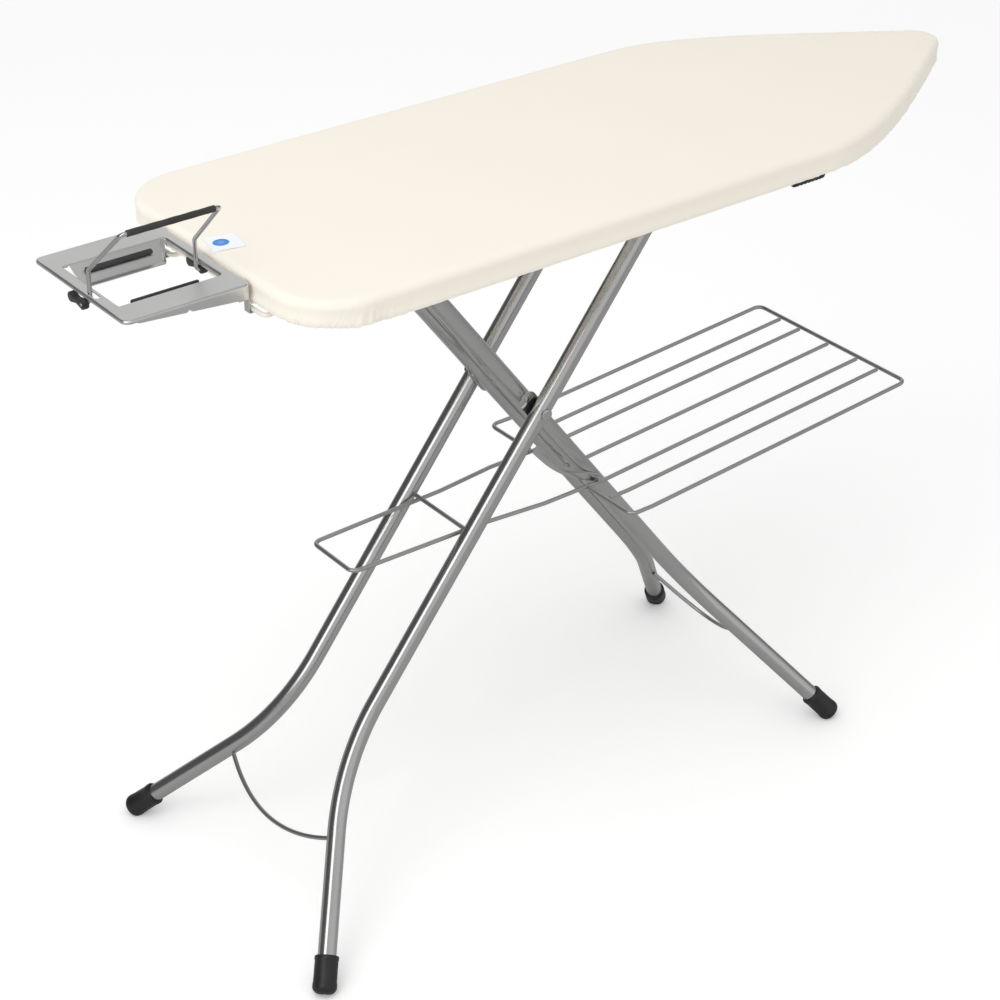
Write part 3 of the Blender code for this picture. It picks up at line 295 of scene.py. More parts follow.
def ripples(count, shortest, longest, perimeter, seed):
    """Periodic noise round a closed line, with wavelengths between two lengths: random phases
    on a flat spectrum, turned back by the inverse Fourier transform, and scaled to spread 1."""
    draws = np.random.default_rng(seed)
    frequency = np.arange(count // 2 + 1) / perimeter
    chosen = (frequency > 1 / longest) & (frequency < 1 / shortest)
    spectrum = chosen * np.exp(2j * np.pi * draws.random(len(frequency)))
    wave = np.fft.irfft(spectrum, count)
    return wave / wave.std()


# ---------------------------------------------------------------- meshes


def grid_faces(rows, columns, around):
    """Quads between neighbouring points of a grid, joined across its last column if around."""
    i, j = np.meshgrid(np.arange(rows - 1), np.arange(columns - (not around)), indexing="ij")
    k = (j + 1) % columns
    quads = [i * columns + j, (i + 1) * columns + j, (i + 1) * columns + k, i * columns + k]
    return np.stack(quads, -1).reshape(-1, 4), i, j


def mesh_object(name, points, faces, uv=None, closed=True, sharp=40):
    """A welded, smooth-shaded mesh. A closed one has its faces turned outwards."""
    mesh = bpy.data.meshes.new(name)
    mesh.from_pydata(np.reshape(points, (-1, 3)).tolist(), [], np.asarray(faces).tolist())
    if uv is not None:
        mesh.uv_layers.new(name="UVMap").data.foreach_set("uv", np.ravel(uv))
    weld = bmesh.new()
    weld.from_mesh(mesh)
    bmesh.ops.remove_doubles(weld, verts=weld.verts, dist=WELD)
    if closed:
        bmesh.ops.recalc_face_normals(weld, faces=weld.faces)
    weld.to_mesh(mesh)
    weld.free()
    shade(mesh, sharp)
    obj = bpy.data.objects.new(name, mesh)
    bpy.context.scene.collection.objects.link(obj)
    return obj


def shade(mesh, sharp):
    mesh.shade_smooth()
    mesh.set_sharp_from_angle(angle=math.radians(sharp))


def surface(name, points, around=False, closed=True, sharp=40):
    """A grid of points as a mesh, with UVs in metres: U across the grid, V along it."""
    rows, columns = points.shape[:2]
    faces, i, j = grid_faces(rows, columns, around)
    middle = points.mean(1)
    along = np.append(0, np.cumsum(np.linalg.norm(np.diff(middle, axis=0), axis=1)))
    ring = points[rows // 2]
    ring = np.concatenate([ring, ring[:1]])
    across = np.append(0, np.cumsum(np.linalg.norm(np.diff(ring, axis=0), axis=1)))
    u = np.stack([across[j], across[j], across[j + 1], across[j + 1]], -1)
    v = np.stack([along[i], along[i + 1], along[i + 1], along[i]], -1)
    return mesh_object(name, points, faces, np.stack([u, v], -1), closed, sharp)


def tube(name, path, radius, up, sides=32, edge=0.0005, closed=False, height=1.0):
    """A bar along a path: round each point, radius times the cosine to the side and height
    times radius times the sine along up. Its ends are flat with a small chamfer."""
    path = np.asarray(path, float)
    if closed:
        tangent = unit(np.roll(path, -1, axis=0) - np.roll(path, 1, axis=0))
        radii = np.full(len(path), radius)
    else:
        tangent = unit(np.gradient(path, axis=0))
        first = [path[0], path[0], path[0] + edge * tangent[0]]
        last = [path[-1] - edge * tangent[-1], path[-1], path[-1]]
        path = np.concatenate([first, path[1:-1], last])
        tangent = tangent[[0, 0, *range(len(tangent)), -1, -1]]
        radii = np.full(len(path), radius)
        radii[[0, -1]] = 0
        radii[[1, -2]] = radius - edge
    side = unit(np.cross(tangent, np.broadcast_to(up, tangent.shape)))
    top = np.cross(side, tangent) * height
    angle = np.linspace(0, 2 * np.pi, sides, endpoint=False)[None, :, None]
    ring = np.cos(angle) * side[:, None] + np.sin(angle) * top[:, None]
    points = path[:, None] + radii[:, None, None] * ring
    if closed:
        points = np.concatenate([points, points[:1]])
    return surface(name, points, around=True)


def axes_across(axis):
    """Two directions at right angles to an axis and to each other."""
    axis = unit(np.asarray(axis, float))
    first = unit(np.cross(axis, Y if abs(axis[1]) < 0.9 else Z))
    return axis, first, np.cross(axis, first)


def turned(name, profile, start, axis, steps=64, sharp=40):
    """A profile of (radius, height) points turned about an axis through start."""
    axis, first, second = axes_across(axis)
    radius, height = np.asarray(profile, float).T
    angle = np.linspace(0, 2 * np.pi, steps, endpoint=False)[None, :, None]
    ring = np.cos(angle) * first + np.sin(angle) * second
    points = start + height[:, None, None] * axis + radius[:, None, None] * ring
    return surface(name, points, around=True, sharp=sharp)


def applied(obj, sharp):
    """The object with its modifiers made real and its edges marked again."""
    bpy.context.view_layer.update()
    graph = bpy.context.evaluated_depsgraph_get()
    mesh = bpy.data.meshes.new_from_object(obj.evaluated_get(graph))
    obj.modifiers.clear()
    obj.data = mesh
    shade(mesh, sharp)
    return obj


def solid(obj, thickness, offset=0.0, edge=0.0, sharp=30, even=True):
    """Gives a sheet its wall, and its edges a small round."""
    wall = obj.modifiers.new("wall", "SOLIDIFY")
    wall.thickness = thickness
    wall.offset = offset
    wall.use_even_offset = even
    if edge:
        bevel = obj.modifiers.new("edges", "BEVEL")
        bevel.width = edge
        bevel.segments = 2
        bevel.limit_method = "ANGLE"
        bevel.angle_limit = math.radians(50)
    return applied(obj, sharp)


def plate(name, outline, origin, first, second, thickness, edge=0.0004):
    """A flat outline in the plane of two directions, made thick both ways from it."""
    outline = np.asarray(outline, float)
    points = origin + outline[:, :1] * first + outline[:, 1:] * second
    obj = mesh_object(name, points, [list(range(len(points)))], closed=False)
    return solid(obj, thickness, edge=edge, sharp=25)


def folded(name, line, origin, first, second, axis, half, thickness, edge=0.0004):
    """A strip of sheet: a line in the plane of two directions, carried both ways along an axis."""
    line = np.asarray(line, float)
    points = origin + line[:, :1] * first + line[:, 1:] * second
    stations = np.linspace(-half, half, 9)[:, None, None]
    obj = surface(name, points[None] + stations * axis, closed=False)
    return solid(obj, thickness, edge=edge)


def joined(name, objects):
    """Several meshes as one."""
    with bpy.context.temp_override(active_object=objects[0], selected_editable_objects=objects):
        bpy.ops.object.join()
    objects[0].name = name
    return objects[0]


def place(obj, body, slot, material, *nodes):
    """Gives a finished piece its material, its body and the solids that it stands for."""
    obj.data.materials.clear()
    obj.data.materials.append(material)
    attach(obj, body)
    if nodes:
        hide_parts(*nodes)
    return obj


# ---------------------------------------------------------------- shader groups


def add_node(tree, kind, inputs=None, **settings):
    """A node with its settings, and its inputs given as values or as sockets to link."""
    node = tree.nodes.new(kind)
    for key, value in settings.items():
        setattr(node, key, value)
    for key, value in (inputs or {}).items():
        if isinstance(value, bpy.types.NodeSocket):
            tree.links.new(value, node.inputs[key])
        else:
            node.inputs[key].default_value = value
    return node


def math_node(tree, operation, first, second=0.0):
    """One operation on two numbers, each a socket or a value."""
    return add_node(tree, "ShaderNodeMath", {0: first, 1: second}, operation=operation).outputs[0]


def mapped(tree, vector, scale):
    """A place, scaled along each axis."""
    node = add_node(tree, "ShaderNodeMapping", {"Vector": vector, "Scale": scale})
    return node.outputs["Vector"]


def noise(tree, vector, scale, detail=3.0, roughness=0.5):
    """Fractal noise at a place, from 0 to 1."""
    inputs = {"Vector": vector, "Scale": scale, "Detail": detail, "Roughness": roughness}
    return add_node(tree, "ShaderNodeTexNoise", inputs).outputs["Fac"]


def remap(tree, value, low, high, to_low, to_high):
    """A number carried from one range to another, and kept inside it."""
    inputs = {"Value": value, "From Min": low, "From Max": high}
    inputs |= {"To Min": to_low, "To Max": to_high}
    return add_node(tree, "ShaderNodeMapRange", inputs).outputs["Result"]


def mix_colour(tree, factor, first, second):
    """The first colour where the factor is 0, the second where it is 1."""
    node = add_node(tree, "ShaderNodeMix", data_type="RGBA")
    for key, value in ((0, factor), (6, first), (7, second)):
        if isinstance(value, bpy.types.NodeSocket):
            tree.links.new(value, node.inputs[key])
        else:
            node.inputs[key].default_value = value
    return node.outputs[2]


def new_group(name, inputs, outputs):
    """An empty node group with named sockets, given as (name, socket type, default)."""
    group = bpy.data.node_groups.new(name, "ShaderNodeTree")
    for label, kind, default in inputs:
        socket = group.interface.new_socket(label, in_out="INPUT", socket_type=kind)
        if default is not None:
            socket.default_value = default
    for label, kind in outputs:
        group.interface.new_socket(label, in_out="OUTPUT", socket_type=kind)
    return group, group.nodes.new("NodeGroupInput"), group.nodes.new("NodeGroupOutput")


FLOAT, VECTOR = "NodeSocketFloat", "NodeSocketVector"


def build_weave_group():
    """Plain weave: two crossed sine waves multiplied, with slubs that widen some threads."""
    sockets = [("Vector", VECTOR, None), ("Threads per metre", FLOAT, 1900.0)]
    results = [("Height", FLOAT), ("Slub", FLOAT), ("Mottle", FLOAT)]
    tree, start, end = new_group("plain weave", sockets, results)
    vector = start.outputs["Vector"]
    parts = add_node(tree, "ShaderNodeSeparateXYZ", {0: vector})
    pitch = start.outputs["Threads per metre"]
    wave_x = math_node(tree, "SINE", math_node(tree, "MULTIPLY", parts.outputs[0], pitch))
    lift = math_node(tree, "ADD", parts.outputs[1], parts.outputs[2])
    wave_y = math_node(tree, "SINE", math_node(tree, "MULTIPLY", lift, pitch))
    weave = math_node(tree, "MULTIPLY", wave_x, wave_y)
    slub_x = noise(tree, mapped(tree, vector, (25, 900, 900)), 1.0, 2.0)
    slub_y = noise(tree, mapped(tree, vector, (900, 25, 25)), 1.0, 2.0)
    slub = math_node(tree, "ADD", slub_x, slub_y)
    fuzz = noise(tree, vector, 2600.0, 2.0)
    height = math_node(tree, "ADD", math_node(tree, "MULTIPLY", weave, 0.35), slub)
    height = math_node(tree, "ADD", height, math_node(tree, "MULTIPLY", fuzz, 0.5))
    tree.links.new(height, end.inputs["Height"])
    tree.links.new(slub, end.inputs["Slub"])
    tree.links.new(noise(tree, vector, 9.0, 4.0, 0.6), end.inputs["Mottle"])
    return tree


def build_grain_group():
    """Drawn metal: fine lines along V of the UV map, a slower drift, and a few small marks."""
    sockets = [("UV", VECTOR, None), ("Place", VECTOR, None), ("Line", FLOAT, 1.0)]
    results = [("Lines", FLOAT), ("Drift", FLOAT), ("Marks", FLOAT)]
    tree, start, end = new_group("drawn grain", sockets, results)
    uv, spot = start.outputs["UV"], start.outputs["Place"]
    lines = noise(tree, mapped(tree, uv, (5200, 9, 1)), 1.0, 3.0, 0.6)
    lines = math_node(tree, "MULTIPLY", lines, start.outputs["Line"])
    marks = add_node(tree, "ShaderNodeTexVoronoi", {"Vector": spot, "Scale": 55.0})
    marks = remap(tree, marks.outputs["Distance"], 0.0, 0.09, 1.0, 0.0)
    tree.links.new(lines, end.inputs["Lines"])
    tree.links.new(noise(tree, spot, 14.0, 3.0), end.inputs["Drift"])
    tree.links.new(marks, end.inputs["Marks"])
    return tree


def build_dust_group():
    """Handling and dust: broad soft patches, and a fine speckle for a moulded skin."""
    sockets = [("Place", VECTOR, None), ("Speckle scale", FLOAT, 1400.0)]
    tree, start, end = new_group("dust", sockets, [("Patches", FLOAT), ("Speckle", FLOAT)])
    spot = start.outputs["Place"]
    patches = remap(tree, noise(tree, spot, 22.0, 5.0, 0.6), 0.42, 0.72, 0.0, 1.0)
    tree.links.new(patches, end.inputs["Patches"])
    speckle = add_node(tree, "ShaderNodeTexNoise", {"Vector": spot, "Detail": 2.0})
    tree.links.new(start.outputs["Speckle scale"], speckle.inputs["Scale"])
    tree.links.new(speckle.outputs["Fac"], end.inputs["Speckle"])
    return tree


def group_of(name):
    """The named node group, built the first time that it is asked for."""
    makers = {"plain weave": build_weave_group, "drawn grain": build_grain_group,
              "dust": build_dust_group}
    return bpy.data.node_groups.get(name) or makers[name]()


# ---------------------------------------------------------------- materials


def start_material(name, metallic=0.0, **constants):
    """A Principled material with its tree, shader and coordinates."""
    made = bpy.data.materials.new(name)
    made.use_nodes = True
    tree = made.node_tree
    shader = tree.nodes["Principled BSDF"]
    shader.inputs["Metallic"].default_value = metallic
    for key, value in constants.items():
        shader.inputs[key.replace("_", " ").title().replace("Ior", "IOR")].default_value = value
    place_of = tree.nodes.new("ShaderNodeTexCoord")
    return made, tree, shader, place_of


def use_group(tree, name, **inputs):
    """Puts a node group in a material, with its own values, and gives its outputs."""
    node = tree.nodes.new("ShaderNodeGroup")
    node.node_tree = group_of(name)
    for key, value in inputs.items():
        socket = node.inputs[key.replace("_", " ")]
        if isinstance(value, bpy.types.NodeSocket):
            tree.links.new(value, socket)
        else:
            socket.default_value = value
    return node.outputs


def bump(tree, shader, height, strength, distance):
    """Tilts the shader's normal by a height."""
    inputs = {"Height": height, "Strength": strength, "Distance": distance}
    node = add_node(tree, "ShaderNodeBump", inputs)
    tree.links.new(node.outputs["Normal"], shader.inputs["Normal"])


def tinted(tree, shader, base, factor, low, high):
    """The base colour, darker and lighter with a mask."""
    dark = (*[c * low for c in base], 1)
    light = (*[min(1.0, c * high) for c in base], 1)
    tree.links.new(mix_colour(tree, factor, dark, light), shader.inputs["Base Color"])


def cotton_material(name, base, threads=1900.0, depth=0.00012):
    made, tree, shader, at = start_material(name, sheen_weight=0.12, sheen_roughness=0.5,
                                            specular_ior_level=0.25)
    weave = use_group(tree, "plain weave", Vector=at.outputs["Object"],
                      Threads_per_metre=threads)
    tinted(tree, shader, base, weave["Mottle"], 0.982, 1.012)
    roughness = remap(tree, weave["Slub"], 0.6, 1.4, 0.82, 0.94)
    tree.links.new(roughness, shader.inputs["Roughness"])
    bump(tree, shader, weave["Height"], 0.22, depth)
    return made


def foam_material(base):
    made, tree, shader, at = start_material("open foam", specular_ior_level=0.2)
    dust = use_group(tree, "dust", Place=at.outputs["Object"], Speckle_scale=900.0)
    tinted(tree, shader, base, dust["Speckle"], 0.8, 1.08)
    shader.inputs["Roughness"].default_value = 0.95
    bump(tree, shader, dust["Speckle"], 0.5, 0.0006)
    return made


def label_material(ground, mark, middle, radii):
    """A woven label: a plain oval in the middle of its ground."""
    made, tree, shader, at = start_material("woven label", specular_ior_level=0.3)
    spot = add_node(tree, "ShaderNodeMapping", {"Vector": at.outputs["Object"]})
    spot.inputs["Location"].default_value = [-m / r for m, r in zip(middle, radii)]
    spot.inputs["Scale"].default_value = [1 / r for r in radii]
    away = add_node(tree, "ShaderNodeVectorMath", {0: spot.outputs[0]}, operation="LENGTH")
    inside = remap(tree, away.outputs["Value"], 0.94, 1.06, 1.0, 0.0)
    core = remap(tree, away.outputs["Value"], 0.0, 0.75, 0.55, 0.0)
    weave = use_group(tree, "plain weave", Vector=at.outputs["Object"],
                      Threads_per_metre=5200.0)
    pale = (*[min(1.0, m + 0.25) for m in mark], 1)
    oval = mix_colour(tree, core, (*mark, 1), pale)
    tree.links.new(mix_colour(tree, inside, (*ground, 1), oval), shader.inputs["Base Color"])
    roughness = remap(tree, weave["Slub"], 0.6, 1.4, 0.55, 0.75)
    tree.links.new(roughness, shader.inputs["Roughness"])
    bump(tree, shader, weave["Height"], 0.3, 0.00008)
    return made


def metal_material(name, base, roughness, spread, lines, depth=0.00002):
    """Bare metal: its roughness follows the grain's lines, its colour the slow drift."""
    made, tree, shader, at = start_material(name, metallic=1.0)
    grain = use_group(tree, "drawn grain", UV=at.outputs["UV"], Place=at.outputs["Object"],
                      Line=lines)
    tinted(tree, shader, base, grain["Drift"], 0.93, 1.05)
    rough = remap(tree, grain["Lines"], 0.3, 0.7, roughness - spread, roughness + spread)
    marks = math_node(tree, "MULTIPLY", grain["Marks"], 0.08)
    tree.links.new(math_node(tree, "ADD", rough, marks), shader.inputs["Roughness"])
    bump(tree, shader, grain["Lines"], 0.25, depth)
    return made


def paint_material(base):
    made, tree, shader, at = start_material("powder coat", coat_weight=0.15,
                                            coat_roughness=0.3)
    dust = use_group(tree, "dust", Place=at.outputs["Object"], Speckle_scale=1100.0)
    tinted(tree, shader, base, dust["Patches"], 1.0, 0.96)
    rough = remap(tree, dust["Speckle"], 0.3, 0.7, 0.34, 0.5)
    tree.links.new(rough, shader.inputs["Roughness"])
    bump(tree, shader, dust["Speckle"], 0.25, 0.0001)
    return made


def mesh_plate_material(base, hole_shade, pitch):
    """Painted sheet with staggered round holes, which show the foam behind them. The holes take a
    flat dark grey, painted shade of the foam seen through them.
    """
    made, tree, shader, at = start_material("pierced sheet")
    holes = None
    for shift in ((0.0, 0.0), (0.5, 0.5)):
        spot = add_node(tree, "ShaderNodeMapping", {"Vector": at.outputs["Object"]})
        spot.inputs["Scale"].default_value = (1 / pitch, 0.5774 / pitch, 0)
        spot.inputs["Location"].default_value = (*shift, 0)
        wrapped = add_node(tree, "ShaderNodeVectorMath", {0: spot.outputs[0]},
                           operation="FRACTION")
        centred = add_node(tree, "ShaderNodeVectorMath",
                           {0: wrapped.outputs[0], 1: (0.5, 0.5, 0.0)}, operation="SUBTRACT")
        round_up = add_node(tree, "ShaderNodeVectorMath",
                            {0: centred.outputs[0], 1: (1.0, 1.732, 0.0)},
                            operation="MULTIPLY")
        away = add_node(tree, "ShaderNodeVectorMath", {0: round_up.outputs[0]},
                        operation="LENGTH")
        hole = remap(tree, away.outputs["Value"], 0.24, 0.30, 1.0, 0.0)
        holes = hole if holes is None else math_node(tree, "MAXIMUM", holes, hole)
    # painted shade: the holes take a dark grey in place of the pale foam behind them
    tree.links.new(mix_colour(tree, holes, (*base, 1), (*hole_shade, 1)),
                   shader.inputs["Base Color"])
    tree.links.new(remap(tree, holes, 0.0, 1.0, 0.42, 0.95), shader.inputs["Roughness"])
    solid_height = math_node(tree, "SUBTRACT", 1.0, holes)
    bump(tree, shader, solid_height, 0.8, 0.0012)
    return made


def moulded_material(name, base, roughness, speckle):
    """Moulded rubber or plastic: a fine skin, and dust that makes it rougher and paler."""
    made, tree, shader, at = start_material(name, specular_ior_level=0.5)
    dust = use_group(tree, "dust", Place=at.outputs["Object"], Speckle_scale=speckle)
    tinted(tree, shader, base, dust["Patches"], 1.0, 1.7)
    rough = remap(tree, dust["Patches"], 0.0, 1.0, roughness, roughness + 0.14)
    tree.links.new(rough, shader.inputs["Roughness"])
    bump(tree, shader, dust["Speckle"], 0.12, 0.0001)
    return made


MATERIALS = {}


def material(name):
    """The named finish, made the first time that it is asked for."""
    if name not in MATERIALS:
        s = sizes()
        steel = s.legs.steel
        makers = {
            "cotton": lambda: cotton_material("ecru cotton", s.board.cotton),
            "foam": lambda: foam_material(s.board.foam),
            "thread": lambda: cotton_material("white thread", s.board.label, 4200.0),
            "paint": lambda: paint_material(s.board.paint),
            # the dark grey is painted shade in the plate's holes; the foam seen through them is
            # pale
            "pierced": lambda: mesh_plate_material(s.board.paint, (0.16, 0.16, 0.15), 0.009),
            "tube": lambda: metal_material("satin tube", steel, s.legs.steel_roughness, 0.05, 1.0),
            "sheet": lambda: metal_material("satin sheet", s.rest.sheet_steel, 0.36, 0.05, 1.0),
            "bright": lambda: metal_material("bright steel", steel, 0.16, 0.04, 1.0),
            "wire": lambda: metal_material("drawn wire", s.rack.wire, 0.33, 0.06, 1.0),
            "rubber": lambda: moulded_material("black rubber", s.legs.rubber, 0.36, 1600.0),
            "sleeve": lambda: moulded_material("sleeve rubber", SLEEVE_BLACK, 0.55, 1300.0),
            "plastic": lambda: moulded_material("moulded plastic", s.rest.plastic, 0.34, 2100.0),
        }
        MATERIALS[name] = makers[name]()
    return MATERIALS[name]


# ---------------------------------------------------------------- board


def half_outline():
    """The far half of the board's outline, from the nose's tip to the square end: the tip's arc,
    a cubic Bezier down the taper, the straight side, and the corner's quarter circle."""
    s = sizes().board
    angle = np.linspace(0, s.nose_arc, 40)
    tip = np.stack([np.cos(angle), np.sin(angle)], 1) * s.nose_radius
    tip[:, 0] += NOSE_TIP - s.nose_radius
    heading = np.array([-math.sin(s.nose_arc), math.cos(s.nose_arc)])
    side = np.array([HUB[0] + s.taper_from, HALF_WIDTH])
    pulls = [tip[-1], tip[-1] + heading * s.taper_end_pull, side + (s.taper_start_pull, 0), side]
    t = np.linspace(0, 1, 200)[1:, None]
    weights = (1 - t) ** 3, 3 * t * (1 - t) ** 2, 3 * t * t * (1 - t), t**3
    taper = sum(w * p for w, p in zip(weights, pulls))
    turn_to = np.linspace(np.pi / 2, np.pi, 60)
    corner = np.stack([np.cos(turn_to), np.sin(turn_to)], 1) * s.corner_radius
    corner += (SQUARE_END + s.corner_radius, HALF_WIDTH - s.corner_radius)
    return np.concatenate([tip, taper, corner, [[SQUARE_END, 0.0]]])


def even_outline(count, closeness=None):
    """The whole outline as count points, anticlockwise, with outward directions and distances
    round it. closeness(x) says how much closer than elsewhere points lie at each X."""
    half = half_outline()
    steps = np.linalg.norm(np.diff(half, axis=0), axis=1)
    fine = np.append(0, np.cumsum(steps))
    dense = np.linspace(0, fine[-1], 6000)
    x = np.interp(dense, fine, half[:, 0])
    y = np.interp(dense, fine, half[:, 1])
    weight = closeness(x) if closeness else np.ones(len(x))
    amount = np.append(0, np.cumsum((weight[1:] + weight[:-1]) / 2))
    chosen = np.interp(np.linspace(0, amount[-1], count // 2 + 1), amount, dense)
    far = np.stack([np.interp(chosen, dense, x), np.interp(chosen, dense, y)], 1)
    near = far[-2:0:-1] * (1, -1)
    line = np.concatenate([far, near])
    heading = unit(np.roll(line, -1, axis=0) - np.roll(line, 1, axis=0))
    outward = np.stack([heading[:, 1], -heading[:, 0]], 1)
    around = np.concatenate([chosen, 2 * fine[-1] - chosen[-2:0:-1]])
    return line, outward, around, 2 * fine[-1]


def closer_at_ends(x):
    nose = smooth_step(x, HUB[0] + 0.36, NOSE_TIP - 0.05)
    square = 1 - smooth_step(x, SQUARE_END + 0.06, SQUARE_END + 0.20)
    return 1 + 1.6 * nose + 2.4 * square


def ring_of(line, outward, inset, height):
    """The outline moved inwards and put at a height; both may vary round it."""
    flat = line - outward * np.reshape(inset, (-1, 1))
    return np.concatenate([flat, np.broadcast_to(np.reshape(height, (-1, 1)), (len(line), 1))], 1)


def cloth_rows(line, outward, edge, tuck, bottom, top):
    """Rings of the cover from its middle outwards: the top, a quarter circle of radius edge over
    the pad, the skirt, a quarter circle of radius tuck under the rim, the hem, and the casing's
    roll. Each row has its inset's direction, as (out, up), for the gathers."""
    s = sizes().board
    spine = np.stack([np.clip(line[:, 0], SQUARE_END + 0.12, NOSE_TIP - 0.22), 0 * line[:, 0]], 1)
    rim = line - outward * edge
    rings, ways = [], []
    for k in 1 - (1 - np.linspace(0, 1, TOP_RINGS)) ** 2:
        flat = spine + (rim - spine) * k
        rings.append(np.concatenate([flat, np.full((len(line), 1), top)], 1))
        ways.append((0.0, 1.0))
    for a in np.linspace(0, np.pi / 2, 7)[1:]:
        inset = edge * (1 - math.sin(a))
        rings.append(ring_of(line, outward, inset, top - edge * (1 - math.cos(a))))
        ways.append((math.sin(a), math.cos(a)))
    for t in np.linspace(0, 1, 9)[1:]:
        bow = 0.0012 * math.sin(math.pi * t)
        rings.append(ring_of(line, outward, bow, top - edge + t * (bottom + tuck - top + edge)))
        ways.append((1.0, 0.0))
    for b in np.linspace(0, np.pi / 2, 8)[1:]:
        rings.append(ring_of(line, outward, tuck * (1 - math.cos(b)),
                             bottom + tuck * (1 - math.sin(b))))
        ways.append((math.cos(b), -math.sin(b)))
    casing = s.casing_radius
    for t in np.linspace(0, 1, 3)[1:]:
        rings.append(ring_of(line, outward, tuck + t * (s.hem_width - casing - tuck), bottom))
        ways.append((0.0, -1.0))
    for c in np.linspace(0, 1.25 * np.pi, 7)[1:]:
        rings.append(ring_of(line, outward, s.hem_width - casing + casing * math.sin(c),
                             bottom + casing * (1 - math.cos(c))))
        ways.append((-math.sin(c), -math.cos(c)))
    return np.array(rings), np.array(ways)


def gathers(line, around, perimeter, rows):
    """How deep the cloth is drawn in, for each row and point: folded noise, strongest at the
    hem, near the corners and the nose, and fading out over the edge. The folds lean a little."""
    s = sizes().board
    count = 4096
    coarse = np.abs(ripples(count, 0.011, 0.030, perimeter, 3)).clip(0, 1.8)
    fine = np.abs(ripples(count, 0.0045, 0.009, perimeter, 5)).clip(0, 1.8)
    at = np.linspace(0, perimeter, count, endpoint=False)
    x, y = line.T
    corner = 1 - smooth_step(x, SQUARE_END + 0.07, SQUARE_END + 0.17)
    corner *= 0.35 + 0.65 * smooth_step(np.abs(y), 0.07, 0.15)
    nose = smooth_step(x, HUB[0] + 0.42, NOSE_TIP - 0.09)
    straight = 0.13 + 0 * x
    kinks = 0.5 * smooth_step(x, HUB[0] + 0.20, HUB[0] + 0.40) * (1 - nose)
    depth = np.zeros((rows, len(line)))
    for row in range(rows):
        down = row - (TOP_RINGS - 1)
        lean = 0.0009 * down
        folds = np.interp(around + lean, at, coarse, period=perimeter)
        pulls = np.interp(around + 0.3 * lean, at, fine, period=perimeter)
        low = np.clip(down / 18, 0, 1) ** 1.3
        hem = np.clip((down - 16) / 8, 0, 1)
        where = s.gather_depth * (corner + straight + kinks)
        depth[row] = where * (0.30 * folds + 0.60 * pulls) * low
        depth[row] += s.gather_depth * 0.35 * hem * pulls
        reach = np.clip(1 + down / 4, 0, 1)
        depth[row] += s.nose_gather_depth * nose * pulls * reach * (1 + 0.8 * low)
    return depth


def make_cover():
    """The cotton cover: rings from the middle of the top, over a round edge and down to the
    hem, each point drawn in by the gathers, with a top that rises and falls by two sine waves.
    """
    s = sizes().board
    line, outward, around, perimeter = even_outline(1240, closer_at_ends)
    square = 1 - smooth_step(line[:, 0], SQUARE_END + 0.015, SQUARE_END + 0.085)
    tuck = s.cloth_tuck + (s.end_tuck - s.cloth_tuck) * square
    bottom = HEM_BOTTOM - 0.0012 * (1 - square)
    rings, ways = cloth_rows(line, outward, s.cloth_edge, tuck, bottom, BOARD_TOP)
    depth = gathers(line, around, perimeter, len(rings))
    out = np.concatenate([outward, np.zeros((len(line), 1))], 1)
    normal = ways[:, :1, None] * out[None] + ways[:, 1:, None] * Z
    points = rings - depth[..., None] * normal
    x, y = points[..., 0], points[..., 1]
    swell = np.sin(31 * x + 1.3) * np.sin(27 * y + 0.4) + 0.6 * np.sin(57 * x - 22 * y)
    on_top = ways[:, 1].clip(0, 1)[:, None]
    points[..., 2] -= s.pad_swell * on_top * (1 + 0.5 * swell)
    cover = surface("cotton_cover", points, around=True, closed=False, sharp=60)
    if cover.data.polygons[0].normal.z < 0:
        cover.data.flip_normals()
    solid(cover, s.cloth_thickness, offset=-1.0, sharp=60, even=False)
    place(cover, "board", "ecru_cotton", material("cotton"), "cover")
    cut = float(np.abs(line[:, 0] @ (np.roll(line[:, 1], -1) - np.roll(line[:, 1], 1))) / 2)
    cut += perimeter * (BOARD_TOP - HEM_BOTTOM + s.hem_width)


def make_pad():
    """The foam: rings of the outline from the middle of the top, round both edges, and back to
    the middle underneath, with a top that rises and falls a little."""
    low, high = span("foam_pad")
    line, outward, _, _ = even_outline(420)
    inset = COVER_HIGH[0] - high[0] + 0.0008
    line = line - outward * inset
    thick = high[2] - low[2]
    edge = 0.5 * thick
    spine = np.stack([np.clip(line[:, 0], SQUARE_END + 0.12, NOSE_TIP - 0.22), 0 * line[:, 0]], 1)
    rim = line - outward * edge
    rings = []
    for k in np.linspace(0, 1, 10):
        flat = spine + (rim - spine) * k
        rings.append(np.concatenate([flat, np.full((len(line), 1), high[2] - 0.0011)], 1))
    for a in np.linspace(0, np.pi, 9)[1:-1]:
        middle = (high[2] + low[2] - 0.0011) / 2
        rise = (high[2] - 0.0011 - low[2]) / 2 * math.cos(a)
        rings.append(ring_of(line, outward, edge * (1 - math.sin(a)) + 0.0006, middle + rise))
    for k in np.linspace(1, 0, 10):
        flat = spine + (rim - spine) * k
        rings.append(np.concatenate([flat, np.full((len(line), 1), low[2])], 1))
    pad = surface("foam_pad_soft", np.array(rings), around=True, sharp=60)
    place(pad, "board", "foam", material("foam"), "foam_pad")


